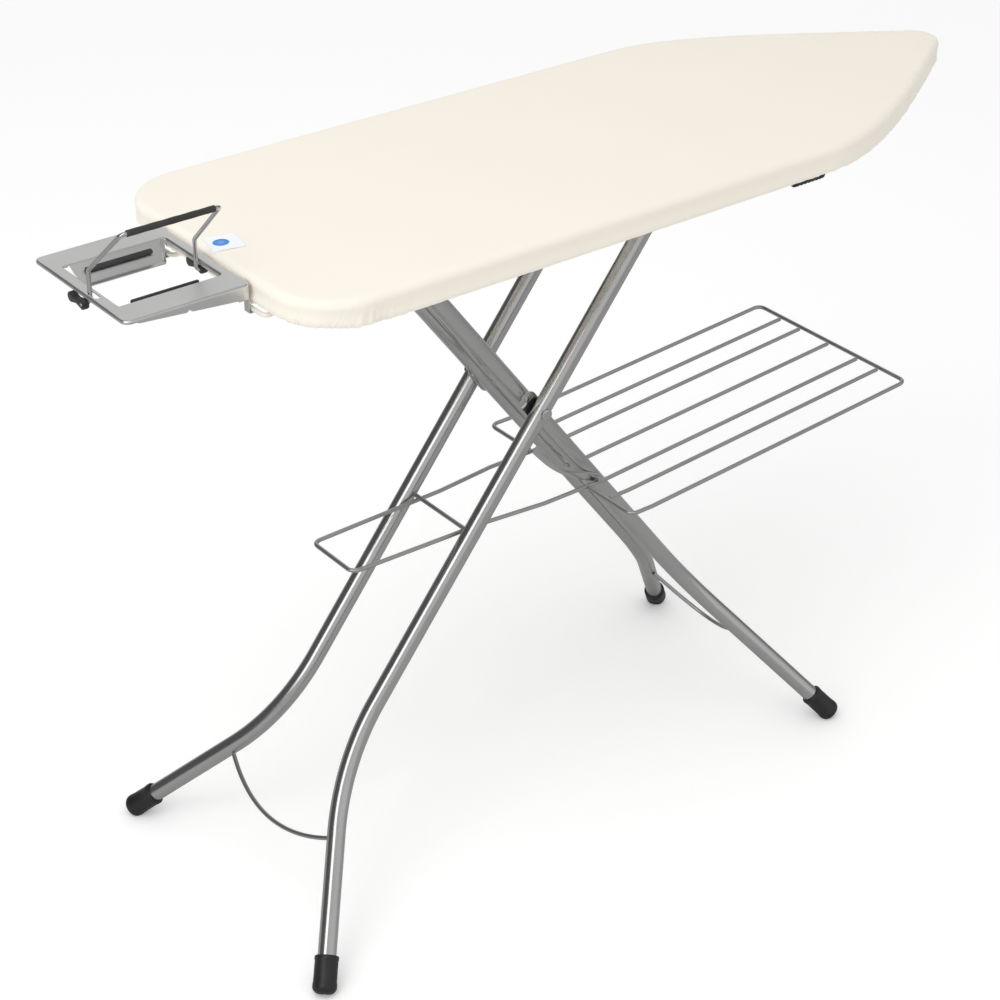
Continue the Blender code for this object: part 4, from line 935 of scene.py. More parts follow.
def make_label():
    """The care label: a square grid turned on the cloth, lifting by the product of two sines
    between its stitched edges; and the stitches, a row of short bars along each edge."""
    s = sizes().board
    low, high = span("care_label")
    middle = (low + high) / 2
    side = LABEL_SIDE
    wide = (high[0] - low[0]) / side
    angle = -(math.pi / 4 - math.acos(wide / math.sqrt(2)))
    first = np.array([math.cos(angle), math.sin(angle), 0])
    second = np.array([-math.sin(angle), math.cos(angle), 0])
    u, v = np.meshgrid(np.linspace(-0.5, 0.5, 41), np.linspace(-0.5, 0.5, 41), indexing="ij")
    lift = s.label_bend * np.cos(np.pi * u) * np.cos(np.pi * v)
    lift += 0.25 * s.label_bend * np.sin(9 * u + 2) * np.sin(7 * v)
    base = BOARD_TOP + 0.0001
    points = np.zeros((41, 41, 3))
    points += (middle[0], middle[1], base)
    points += side * u[..., None] * first + side * v[..., None] * second + lift[..., None] * Z
    over = np.clip(1 - (points[..., 0] - SQUARE_END) / s.cloth_edge, 0, 1)
    points[..., 2] -= s.cloth_edge * (1 - np.sqrt(1 - over**2))
    label = surface("woven_label", points, closed=False)
    if label.data.polygons[0].normal.z < 0:
        label.data.flip_normals()
    solid(label, 0.0003, offset=1.0, edge=0.0001)
    oval = middle + first * -0.004
    look = label_material(s.label, s.label_mark, (oval[0], oval[1], base), (0.0104, 0.0092, 0.02))
    place(label, "board", "label_white", look, "care_label")
    stitches = []
    reach = side / 2 - 0.0013
    for along, across in ((first, second), (second, first)):
        for way in (-1, 1):
            for spot in np.linspace(-reach, reach, 13):
                start = middle * (1, 1, 0) + Z * (base + 0.00045)
                start = start + way * reach * across + (spot - 0.0008) * along
                path = start + np.linspace(0, 0.0016, 5)[:, None] * along
                path[:, 2] += 0.0002 * np.sin(np.linspace(0, np.pi, 5))
                stitches.append(tube("stitch", path, 0.00022, Z, sides=6, edge=0.0001))
    thread = joined("label_stitches", stitches)
    place(thread, "board", "label_white", material("thread"))


def make_plate():
    """The pierced plate: the board's outline moved in by an even amount, with its thickness."""
    low, high = span("ironing_plate")
    line, outward, _, _ = even_outline(360)
    inset = COVER_HIGH[0] - high[0]
    outline = (line - outward * inset)
    middle = (low[2] + high[2]) / 2
    obj = plate("pierced_plate", outline, Z * middle, X, Y, high[2] - low[2], edge=0.0003)
    place(obj, "board", "cream_paint", material("pierced"), "ironing_plate")


def make_rim():
    """The rim: a circle carried round the board's outline, moved in by its own radius."""
    low, high = span("rim_tube")
    line, outward, _, _ = even_outline(560)
    radius = (high[2] - low[2]) / 2
    inset = COVER_HIGH[0] - high[0] + radius
    path = ring_of(line, outward, inset, low[2] + radius)
    rim = tube("rim_bar", path, radius - 0.0002, Z, sides=28, closed=True)
    place(rim, "board", "cream_paint", material("paint"), "rim_tube")


def make_ribs():
    """Cross ribs: a channel with rounded folds, carried across the board."""
    for node in ("carrier_rib", "hinge_rib", "track_rib_start", "track_rib_end"):
        low, high = span(node)
        wall = RIB_SHEET
        half_x = (high[0] - low[0]) / 2 - wall / 2
        tall = high[2] - low[2] - wall / 2
        line = rounded([(-half_x, tall), (-half_x, 0), (half_x, 0), (half_x, tall)], 0.003, 6)
        origin = np.array([(low[0] + high[0]) / 2, 0, low[2] + wall / 2])
        rib = folded(f"{node}_channel", line, origin, X, Z, Y, high[1], wall)
        place(rib, "board", "cream_paint", material("paint"), node)


def make_brackets():
    """Each bracket: straight sides from the rib down to a half circle round the axle."""
    for side in SIDES:
        node = f"hinge_bracket_{side}"
        low, high = span(node)
        half = (high[0] - low[0]) / 2
        angle = np.linspace(np.pi, 2 * np.pi, 25)
        lower = np.stack([half * np.cos(angle), half * np.sin(angle)], 1)
        top = high[2] - INNER_AXLE[2]
        outline = np.concatenate([[(half, top), (-half, top)], lower])
        origin = INNER_AXLE * (1, 0, 1) + Y * (low[1] + high[1]) / 2
        obj = plate(f"{node}_plate", outline, origin, X, Z, high[1] - low[1])
        place(obj, "board", "cream_paint", material("paint"), node)


def make_tracks():
    """Each rail: a C-shaped line, open towards the middle, with a web up to the ribs."""
    for side, sign in SIDES.items():
        node = f"track_{side}"
        low, high = span(node)
        wall = RAIL_SHEET
        back = max(abs(low[1]), abs(high[1])) - wall / 2
        mouth = min(abs(low[1]), abs(high[1])) + wall / 2
        half = RAIL_ROOM + wall / 2
        top = high[2] - INNER_AXLE[2]
        line = [(mouth, -half), (back, -half), (back, half), (mouth, half), (mouth, top)]
        line = rounded([(sign * y, z) for y, z in line], 0.0016, 5)
        origin = np.array([(low[0] + high[0]) / 2, 0, INNER_AXLE[2]])
        rail = folded(f"{node}_rail", line, origin, Y, Z, X, (high[0] - low[0]) / 2, wall)
        place(rail, "board", "cream_paint", material("paint"), node)


# ---------------------------------------------------------------- leg frames


def leg_lean():
    """The angle of the inner frame's tubes from upright, above the bend."""
    away = HUB - INNER_AXLE
    return math.atan2(away[0], -away[2])


def leg_shape(frame_name):
    """(direction, half width, splay, bend height) of one leg frame."""
    s = sizes().legs
    half = s.tube_radius - span(f"{frame_name}_leg_near")[1][1]
    if frame_name == "inner":
        return 1, half, s.inner_splay, s.inner_bend_height
    return -1, half, s.outer_splay, s.outer_bend_height


def leg_line(frame_name, sign):
    """A tube's middle line: straight, then an arc of the bend radius, then straight to the
    foot, in the plane of the frame's own slope and Y."""
    s = sizes().legs
    direction, half, splay, bend_height = leg_shape(frame_name)
    lean = leg_lean()
    down = np.array([direction * math.sin(lean), 0, -math.cos(lean)])
    out = sign * Y
    arm = np.linalg.norm(HUB - INNER_AXLE)
    start = HUB + out * half - down * (arm + s.top_overhang)
    corner = HUB + out * half + down * (HUB[2] - bend_height) / math.cos(lean)
    reach = s.bend_radius * math.tan(splay / 2)
    angle = np.linspace(0, splay, 33)[:, None]
    arc = corner + down * (s.bend_radius * np.sin(angle) - reach)
    arc = arc + out * s.bend_radius * (1 - np.cos(angle))
    lower = down * math.cos(splay) + out * math.sin(splay)
    end = corner + lower * (corner[2] - s.foot_radius + s.foot_flat) / -lower[2]
    return np.concatenate([[start], arc, [end]]), np.cross(down, out)


def make_legs():
    """Leg tubes: a circle carried down the middle line, with an open, rolled upper end."""
    s = sizes().legs
    for frame_name in ("inner", "outer"):
        for side, sign in SIDES.items():
            path, up = leg_line(frame_name, sign)
            straight = np.linspace(path[0], path[1], 14)[:-1]
            last = np.linspace(path[-2], path[-1], 6)[1:]
            path = np.concatenate([straight, path[1:-1], last])
            leg = hollow_tube(f"{frame_name}_tube_{side}", path, s.tube_radius, s.tube_wall, up)
            node = f"{frame_name}_leg_{side}"
            place(leg, f"{frame_name}_frame", "satin_steel", material("tube"), node)


def hollow_tube(name, path, radius, wall, up, sides=64, depth=0.03):
    """A tube whose upper end is open: the circle goes down inside to a closed bottom, up over
    a rounded lip, and along the path to a flat lower end."""
    tangent = unit(np.gradient(path, axis=0))
    bore = radius - wall
    lip = wall / 2
    angles = np.linspace(np.pi, 0, 7)
    inner = [(0.0, depth), (bore, depth), (bore, lip)]
    inner += [(bore + lip + lip * math.cos(a), lip - lip * math.sin(a)) for a in angles[1:-1]]
    start = np.array([path[0] + tangent[0] * along for _, along in inner])
    radii = [r for r, _ in inner] + [radius] * (len(path)) + [radius, 0.0]
    middle = np.concatenate([start, [path[0] + tangent[0] * lip], path[1:], path[-1:], path[-1:]])
    tangent = np.concatenate([np.repeat(tangent[:1], len(inner), 0), tangent,
                              tangent[-1:], tangent[-1:]])
    side = unit(np.cross(tangent, np.broadcast_to(up, tangent.shape)))
    top = np.cross(side, tangent)
    angle = np.linspace(0, 2 * np.pi, sides, endpoint=False)[None, :, None]
    ring = np.cos(angle) * side[:, None] + np.sin(angle) * top[:, None]
    points = middle[:, None] + np.array(radii)[:, None, None] * ring
    return surface(name, points, around=True, sharp=50)


def make_feet():
    """Rubber caps: a profile turned about the tube's end, with a rolled collar and a shallow
    groove, and every point below the floor moved up to it."""
    s = sizes().legs
    r, long = s.foot_radius, s.foot_length - s.foot_radius
    inner = s.tube_radius + 0.0002
    profile = [(0, -r), (r - 0.009, -r)]
    angle = np.linspace(-np.pi / 2, 0, 12)[1:]
    profile += [(r - 0.009 + 0.009 * math.cos(a), -r + 0.009 + 0.009 * math.sin(a)) for a in angle]
    profile += [(r, -0.004), (r - 0.0006, 0.0), (r - 0.0007, long - 0.007)]
    profile += [(r - 0.0003, long - 0.0058), (r - 0.0001, long - 0.0046)]
    profile += [(r - 0.0001, long - 0.0016), (r - 0.0007, long - 0.0004), (r - 0.0016, long)]
    profile += [(inner, long), (inner, -0.0003), (0, -0.0003)]
    for frame_name in ("inner", "outer"):
        for side, sign in SIDES.items():
            path, _ = leg_line(frame_name, sign)
            foot = turned(f"{frame_name}_cap_{side}", profile, path[-1], path[-2] - path[-1], 72)
            count = len(foot.data.vertices)
            place_of = np.zeros(count * 3)
            foot.data.vertices.foreach_get("co", place_of)
            place_of = place_of.reshape(-1, 3)
            place_of[:, 2] = np.maximum(place_of[:, 2], 0.00005)
            foot.data.vertices.foreach_set("co", place_of.ravel())
            shade(foot.data, 40)
            node = f"{frame_name}_foot_{side}"
            place(foot, f"{frame_name}_frame", "black_rubber", material("rubber"), node)


def make_braces():
    """Lower braces: a wire whose dip is the sag times one minus the square of its share of the
    half width, in the frame's own slope; and the straight cross brace."""
    s = sizes().legs
    sags = {"inner": (s.inner_brace_height, s.inner_brace_sag),
            "outer": (s.outer_brace_height, s.outer_brace_sag)}
    for frame_name, (height, sag) in sags.items():
        node = f"{frame_name}_lower_brace"
        direction, _, _, _ = leg_shape(frame_name)
        low, high = span(node)
        lean = leg_lean()
        down = np.array([direction * math.sin(lean), 0, -math.cos(lean)])
        middle = HUB + down * (HUB[2] - height) / math.cos(lean)
        part = np.linspace(-1, 1, 81)[:, None]
        path = middle + part * high[1] * Y + sag * (1 - part**2) * down
        wire = tube(f"{node}_wire", path, WIRE, np.cross(down, Y), sides=24)
        place(wire, f"{frame_name}_frame", "wire_steel", material("wire"), node)
    low, high = span("cross_brace")
    middle = (low + high) / 2
    path = middle + np.linspace(low[1], high[1], 5)[:, None] * Y
    wire = tube("cross_brace_wire", path, WIRE, Z, sides=24)
    place(wire, "outer_frame", "wire_steel", material("wire"), "cross_brace")


def make_axles():
    """Top axles: plain round bars across the board; and the glides, rings turned about theirs."""
    for frame_name in ("inner", "outer"):
        low, high = span(f"{frame_name}_top_axle")
        middle = (low + high) / 2
        path = middle * (1, 0, 1) + np.linspace(low[1], high[1], 5)[:, None] * Y
        axle = tube(f"{frame_name}_axle_pin", path, (high[0] - low[0]) / 2, Z, edge=0.001)
        place(axle, f"{frame_name}_frame", "satin_steel", material("bright"),
              f"{frame_name}_top_axle")
    for side in SIDES:
        low, high = span(f"glide_{side}")
        middle = (low + high) / 2
        half = (high[1] - low[1]) / 2
        outer = (high[0] - low[0]) / 2
        corners = [(GLIDE_BORE, -half), (outer, -half), (outer, half), (GLIDE_BORE, half)]
        profile = rounded(corners, 0.0012, 5)
        profile = np.concatenate([profile, profile[:1]])
        glide = turned(f"glide_{side}_ring", profile, middle, Y)
        place(glide, "outer_frame", "black_plastic", material("plastic"), f"glide_{side}")


def make_hub():
    """On each side a bolt with a domed head, a washer, and a plate along the inner tube."""
    lean = leg_lean()
    along = np.array([math.sin(lean), 0, -math.cos(lean)])
    across = np.array([math.cos(lean), 0, math.sin(lean)])
    for side, sign in SIDES.items():
        low, high = span(f"hub_bolt_{side}")
        inner, outer = sorted((abs(low[1]), abs(high[1])))
        face = outer - BOLT_HEAD_TALL
        rise = np.linspace(0, np.pi / 2, 9)
        shoulder = face + 0.0012
        dome = [(BOLT_HEAD * math.cos(a), shoulder + (BOLT_HEAD_TALL - 0.0012) * math.sin(a))
                for a in rise]
        shank = [(0, inner), (BOLT_SHANK, inner), (BOLT_SHANK, face)]
        profile = [*shank, (BOLT_HEAD, face), *dome]
        bolt = turned(f"hub_bolt_{side}_dome", profile, HUB * (1, 0, 1), sign * Y)
        place(bolt, "outer_frame", "satin_steel", material("bright"), f"hub_bolt_{side}")
        low, high = span(f"hub_washer_{side}")
        start, stop = sorted((abs(low[1]), abs(high[1])))
        ring = [(WASHER_BORE, start), (WASHER_RADIUS, start), (WASHER_RADIUS, stop)]
        ring = rounded([*ring, (WASHER_BORE, stop)], 0.0002, 3)
        ring = np.concatenate([ring, ring[:1]])
        washer = turned(f"hub_washer_{side}_ring", ring, HUB * (1, 0, 1), sign * Y)
        place(washer, "outer_frame", "black_plastic", material("plastic"), f"hub_washer_{side}")
        make_hub_plate(side, sign, along, across)


def make_hub_plate(side, sign, along, across):
    """A plate with two half-round ends, and a stud near each end."""
    low, high = span(f"hub_plate_{side}")
    face = min(abs(low[1]), abs(high[1])) + 0.00075
    end = np.linspace(-np.pi / 2, np.pi / 2, 17)
    right = np.stack([HUB_REACH + HUB_END * np.cos(end), HUB_END * np.sin(end)], 1)
    outline = np.concatenate([right, -right])
    origin = HUB * (1, 0, 1) + sign * face * Y
    pieces = [plate("blank", outline, origin, along, across, HUB_SHEET)]
    for way in (-1, 1):
        stud = [(0, 0.0), (0.0045, 0.0), (0.0045, 0.0011), (0.0038, 0.0015), (0, 0.0015)]
        start = origin + way * 0.021 * along
        pieces.append(turned("stud", stud, start, sign * Y, 32))
    obj = joined(f"hub_plate_{side}_sheet", pieces)
    place(obj, "inner_frame", "satin_steel", material("bright"), f"hub_plate_{side}")


# ---------------------------------------------------------------- linen rack


def make_rack():
    """The linen rack: a circle carried round the frame, the long loop and three wires. All lie
    level as far as a line beside the hub, and rise evenly from there to the frame's end.
    """
    s = sizes().rack
    low, high = span("rack_frame")
    wire = WIRE
    height = low[2] + wire
    start, stop = low[0] + wire, high[0] - wire
    half = high[1] - wire
    rise_x = HUB[0] + s.rise_from_hub
    rise = high[2] - wire - height

    def at(x, y):
        return (x, y, height + rise * max(0.0, (x - rise_x) / (stop - rise_x)))

    def wire_piece(node, points):
        path = rounded([at(x, y) for x, y in points], s.corner_radius, 12)
        piece = tube(f"{node}_drawn", path, wire, Z, sides=24)
        place(piece, "rack", "wire_steel", material("wire"), node)

    loop_low, loop_high = span("rack_loop")
    loop_half = loop_high[1] - wire
    inside = loop_half + wire + 0.0003
    corners = [(start, inside), (start, half), (rise_x, half), (stop, half)]
    wire_piece("rack_frame", corners + [(x, -y) for x, y in reversed(corners)])
    neck = s.loop_end_half + s.loop_taper
    loop = [(loop_high[0], loop_half), (rise_x, loop_half), (HUB[0] + s.neck_from, loop_half)]
    loop += [(HUB[0] - s.neck_to, neck), (loop_low[0] + wire, s.loop_end_half)]
    wire_piece("rack_loop", loop + [(x, -y) for x, y in reversed(loop)])
    for node in ("rack_wire_near", "rack_wire_middle", "rack_wire_far"):
        low, high = span(node)
        y = (low[1] + high[1]) / 2
        wire_piece(node, [(x, y) for x in (low[0], rise_x, high[0])])
    low, high = span("rack_hinge_rod")
    path = RACK_HINGE * (1, 0, 1) + np.linspace(low[1], high[1], 5)[:, None] * Y
    rod = tube("rack_hinge_pin", path, wire, Z, sides=24)
    place(rod, "rack", "wire_steel", material("wire"), "rack_hinge_rod")


def make_strap():
    """The safety strap: a flat bar whose middle line is a sine bow, with round ends."""
    low, high = span("safety_strap")
    first = np.array([math.cos(STRAP_SLOPE), 0, math.sin(STRAP_SLOPE)])
    second = np.array([-math.sin(STRAP_SLOPE), 0, math.cos(STRAP_SLOPE)])
    part = np.linspace(0, 1, 31)
    line = np.stack([part * STRAP_LONG, STRAP_BOW * np.sin(np.pi * part)], 1)
    heading = unit(np.gradient(line, axis=0))
    normal = np.stack([-heading[:, 1], heading[:, 0]], 1) * STRAP_WIDE / 2
    round_end = np.linspace(np.pi / 2, -np.pi / 2, 13)[1:-1, None]
    tail = line[0] - np.cos(round_end) * heading[0] * STRAP_WIDE / 2
    tail = tail - np.sin(round_end) * normal[0]
    outline = np.concatenate([line + normal, (line - normal)[::-1], tail])
    origin = RACK_HINGE * (1, 0, 1) + Y * (low[1] + high[1]) / 2
    strap = plate("safety_strap_bar", outline, origin, first, second, high[1] - low[1])
    place(strap, "strap", "satin_steel", material("bright"), "safety_strap")


# ---------------------------------------------------------------- height lever


def make_lever():
    """The height lever: a cranked wire, a catch cut from sheet with a round eye, and a grip
    turned about X whose radius is a cosine along its length.
    """
    drop, reach = LEVER_DROP, LEVER_REACH
    low, high = span("lever_rod")
    grip_low, grip_high = span("lever_grip")
    at = LEVER_AXIS
    path = [(at[0], high[1], at[2]), (at[0], -reach, at[2])]
    path += [(at[0] + drop, -reach, at[2] - drop), (high[0], -reach, at[2] - drop)]
    bar = tube("lever_rod_drawn", rounded(path, 0.006, 8), WIRE, X + 0.3 * Z, sides=24)
    place(bar, "lever", "wire_steel", material("wire"), "lever_rod")
    low, high = span("catch")
    tooth = low[0] - at[0]
    angle = np.linspace(np.pi / 2, -np.pi / 2, 17)
    eye = np.stack([CATCH_EYE * np.cos(angle), CATCH_EYE * np.sin(angle)], 1)
    bottom = low[2] - at[2]
    hook = [(tooth + 0.016, -CATCH_EYE), (tooth + 0.010, bottom)]
    hook += [(tooth, bottom), (tooth, CATCH_EYE)]
    outline = np.concatenate([eye, hook])
    catch = plate("catch_plate", outline, at * (1, 0, 1), X, Z, high[1] - low[1])
    place(catch, "lever", "satin_steel", material("bright"), "catch")
    long = grip_high[0] - grip_low[0]
    r = (grip_high[2] - grip_low[2]) / 2
    ribs = np.linspace(0.006, long - 0.010, 90)
    skin = [(r - 0.0005 + 0.0005 * math.cos(x * 900), x) for x in ribs]
    profile = [(0.0033, 0.004), (0.0033, 0.0), (r - 0.0015, 0.0), (r - 0.0004, 0.0012), *skin]
    profile += [(r - 0.0006, long - 0.004), (r - 0.003, long - 0.0008), (0, long)]
    profile = [(0, 0.004), *profile]
    start = np.array([grip_low[0], -reach, at[2] - drop])
    grip = turned("lever_grip_ribbed", profile, start, X, 48)
    place(grip, "lever", "black_plastic", material("plastic"), "lever_grip")


# ---------------------------------------------------------------- iron rest


def corner_zone(start, corner, stop, radius, count):
    """Evenly spaced points on two straight runs joined by an arc at the corner."""
    line = rounded([start, corner, stop], radius, 24)
    steps = np.append(0, np.cumsum(np.linalg.norm(np.diff(line, axis=0), axis=1)))
    at = np.linspace(0, steps[-1], count)
    return np.stack([np.interp(at, steps, line[:, i]) for i in (0, 1)], 1)


def rest_rings():
    """Matching points round the sheet's outer edge and round its opening, anticlockwise from
    the near side, with the share of each side run and which side it is."""
    s = sizes().rest
    low, high = span("rest_frame")
    left, right, half = low[0], high[0], high[1]
    hole = half - s.rail
    small = 0.003
    x0, x1 = left + s.strip, right - s.strip
    outer, inner, kind = [], [], []
    turns = [((x1 - small, -half), (right, -half), (right, -hole + small)),
             ((right, hole - small), (right, half), (x1 - small, half)),
             ((x0 + small, half), (left, half), (left, hole - small)),
             ((left, -hole + small), (left, -half), (x0 + small, -half))]
    holes = [((x1 - small, -hole), (x1, -hole), (x1, -hole + small)),
             ((x1, hole - small), (x1, hole), (x1 - small, hole)),
             ((x0 + small, hole), (x0, hole), (x0, hole - small)),
             ((x0, -hole + small), (x0, -hole), (x0 + small, -hole))]
    names = ("near", "board", "far", "end")
    for i, name in enumerate(names):
        start_out, start_in = np.array(turns[i - 1][2]), np.array(holes[i - 1][2])
        end_out, end_in = np.array(turns[i][0]), np.array(holes[i][0])
        count = 140 if name in ("near", "far") else 60
        t = np.linspace(0, 1, count, endpoint=False)[:, None]
        outer.append(start_out + t * (end_out - start_out))
        inner.append(start_in + t * (end_in - start_in))
        kind += [name] * count
        outer.append(corner_zone(*turns[i], s.corner, 25)[:-1])
        inner.append(corner_zone(*holes[i], small, 25)[:-1])
        kind += ["corner"] * 24
    return np.concatenate(outer), np.concatenate(inner), np.array(kind)


def rest_sections(outer, inner, kind):
    """The sheet's section at each point round it, as (in, down) pairs: skirt, outer bend, rail,
    inner bend, panel, lip. The skirt and the panel vary in length along the sides."""
    s = sizes().rest
    low, high = span("rest_frame")
    left, right = low[0], high[0]
    x = outer[:, 0]
    side = np.isin(kind, ("near", "far"))
    board_end = kind == "board"
    run = (x - left) / (right - left)
    skirt = np.where(side, s.rim_depth + (s.skirt_depth - s.rim_depth) * run, s.rim_depth)
    notch = np.exp(-(((x - (left + right) / 2) / 0.0022) ** 2))
    skirt = skirt - np.where(side, 0.003 * notch, 0)
    past = np.clip((np.abs(outer[:, 1]) - (high[1] - s.corner - 0.010)) / 0.004, 0, 1)
    wrapped = s.rim_depth + (s.skirt_depth - s.rim_depth) * past
    skirt = np.where(~side & (run > 0.5), wrapped, skirt)
    skirt = np.where((kind == "corner") & (run <= 0.5), s.rim_depth, skirt)
    x0, x1 = left + s.strip + s.panel_margin, right - s.strip - s.panel_margin
    ends = np.clip(np.minimum(x - x0, x1 - x) / 0.007, 0, 1)
    reach = np.where(side, np.sqrt(1 - (1 - ends) ** 2), 0.0)
    slope = math.atan2(s.panel_drop, s.panel_run)
    tilt = np.where(board_end, np.pi / 2, slope)
    panel = math.hypot(s.panel_run, s.panel_drop) - 0.006
    panel_long = np.where(board_end, 0.0030, 0.0008 + (panel - 0.0008) * reach)
    lip = np.where(side, s.panel_lip * np.clip(2 * reach - 1, 0, 1), 0.0) + 0.0001
    wide = np.linalg.norm(inner - outer, axis=1)
    b, c = s.outer_bend, s.inner_bend
    rows = []
    for t in np.linspace(0, 1, 6):
        rows.append((0 * x, skirt + t * (b - skirt)))
    for a in np.linspace(0, np.pi / 2, 7)[1:]:
        rows.append((b * (1 - math.cos(a)) + 0 * x, b * (1 - math.sin(a)) + 0 * x))
    tangent = c * np.tan(tilt / 2)
    for t in np.linspace(0, 1, 9)[1:]:
        rows.append((b + t * (wide - tangent - b), 0 * x))
    for t in np.linspace(0, 1, 6)[1:]:
        a = tilt * t
        rows.append((wide - tangent + c * np.sin(a), c * (1 - np.cos(a))))
    start_in = wide - tangent + c * np.sin(tilt)
    start_down = c * (1 - np.cos(tilt))
    for t in np.linspace(0, 1, 9)[1:]:
        rows.append((start_in + t * panel_long * np.cos(tilt),
                     start_down + t * panel_long * np.sin(tilt)))
    end_in = start_in + panel_long * np.cos(tilt)
    end_down = start_down + panel_long * np.sin(tilt)
    lip_bend = 0.002 * np.clip(2 * reach - 1, 0.02, 1)
    for t in np.linspace(0, 1, 5)[1:]:
        a = tilt * (1 - t)
        rows.append((end_in + lip_bend * (np.sin(tilt) - np.sin(a)) * side,
                     end_down + lip_bend * (np.cos(a) - np.cos(tilt)) * side))
    last_in, last_down = rows[-1]
    for t in np.linspace(0, 1, 3)[1:]:
        rows.append((last_in + t * lip * side, last_down))
    return rows


def make_rest():
    """The iron rest: one sheet, whose section is carried round from its outer edge to its
    opening and given a wall, with a slot cut for the foot of the bail.
    """
    s = sizes().rest
    top = span("rest_frame")[1][2]
    outer, inner, kind = rest_rings()
    rows = rest_sections(outer, inner, kind)
    inward = unit(inner - outer)
    points = np.empty((len(rows), len(outer), 3))
    for row, (into, down) in enumerate(rows):
        points[row, :, :2] = outer + inward * into[:, None]
        points[row, :, 2] = top - down
    sheet = surface("rest_sheet", points, around=True, closed=False, sharp=35)
    if sheet.data.polygons[len(outer) * 14].normal.z < 0:
        sheet.data.flip_normals()
    slot_x = bail_sides()[0]
    angle = np.linspace(0, 2 * np.pi, 33)[:-1]
    slot = np.stack([SLOT_RADIUS * np.cos(angle), SLOT_RADIUS * np.sin(angle)], 1)
    slot[:, 1] -= np.where(slot[:, 1] < 0, SLOT_LONG, 0.0)
    origin = np.array([slot_x, BAIL_AXIS[1], top])
    cutter = plate("slot_cutter", slot, origin, X, Y, 0.02, edge=0)
    wall = sheet.modifiers.new("wall", "SOLIDIFY")
    wall.thickness = s.sheet
    wall.offset = -1.0
    cut = sheet.modifiers.new("slot", "BOOLEAN")
    cut.operation = "DIFFERENCE"
    cut.object = cutter
    applied(sheet, 35)
    bpy.data.objects.remove(cutter)
    place(sheet, "board", "satin_steel", material("sheet"), "rest_frame")


def make_rubber_strips():
    """Rubber strips: a flattened bar with rounded ends, lying on the slope of each panel."""
    s = sizes().rest
    slope = math.atan2(s.panel_drop, s.panel_run)
    for side, sign in SIDES.items():
        node = f"rest_rubber_{side}"
        low, high = span(node)
        middle = (low + high) / 2
        up = np.array([0, -sign * math.sin(slope), math.cos(slope)])
        half = (high[0] - low[0]) / 2
        path = middle + np.linspace(-half, half, 41)[:, None] * X
        strip = tube(f"{node}_bar", path, STRIP_RADIUS, up, sides=28, edge=0.0012, height=0.70)
        place(strip, "board", "black_rubber", material("sleeve"), node)


def bail_sides():
    """X of the bail's two upright legs."""
    low, high = span("bail_wire")
    return low[0] + BAIL_FOOT, high[0] - BAIL_FOOT


def make_bail():
    """The bail: a wire with two feet along X, uprights, and a leaning top with its bar."""
    s = sizes().rest
    low, high = span("bail_wire")
    radius = BAIL_WIRE
    left, right = bail_sides()
    y, z = BAIL_AXIS[1], BAIL_AXIS[2]
    lean, top = low[1] + radius, high[2] - radius
    bend = z + s.bail_upright
    first, last = left + s.bail_taper, right - s.bail_taper
    path = [(low[0], y, z), (left, y, z), (left, y, bend), (first, lean, top)]
    path += [(last, lean, top), (right, y, bend), (right, y, z), (high[0], y, z)]
    line = rounded(path, s.bail_bend, 10)
    up = np.array([0.21, 0.87, 0.45])
    wire = tube("bail_wire_bent", line, radius, up, sides=28, edge=0.0006)
    place(wire, "bail", "satin_steel", material("bright"), "bail_wire")
    low, high = span("bail_sleeve")
    r = (high[2] - low[2]) / 2
    long = high[0] - low[0]
    ends = rounded([(0.0028, 0), (r, 0), (r, long), (0.0028, long)], 0.0012, 6)
    waves = np.linspace(0.004, long - 0.004, 40)
    body = [(r - 0.00012 * (1 + math.cos(260 * x)), x) for x in waves]
    split = len(ends) // 2
    profile = np.concatenate([ends[:split], body, ends[split:], ends[:1]])
    sleeve = turned("bail_sleeve_foam", profile, np.array([low[0], lean, top]), X)
    place(sleeve, "bail", "black_rubber", material("sleeve"), "bail_sleeve")


def make_clips():
    """Two-lobed clips: a figure of eight with a waist, under each end strip."""
    for node in ("rest_clip_end", "rest_clip_board"):
        low, high = span(node)
        radius = (high[2] - low[2]) / 2
        half = (high[1] - low[1]) / 2 - radius
        angle = np.linspace(-np.pi / 2, np.pi / 2, 15)
        lobe = np.stack([half + radius * np.cos(angle), radius * np.sin(angle)], 1)
        waist = [(half / 3, radius * 0.66), (0.0, radius * 0.52), (-half / 3, radius * 0.66)]
        outline = np.concatenate([lobe, waist, -lobe, -np.array(waist)])
        middle = (low + high) / 2
        clip = plate(f"{node}_moulding", outline, middle, Y, Z, high[0] - low[0], edge=0.0012)
        place(clip, "board", "black_plastic", material("plastic"), node)


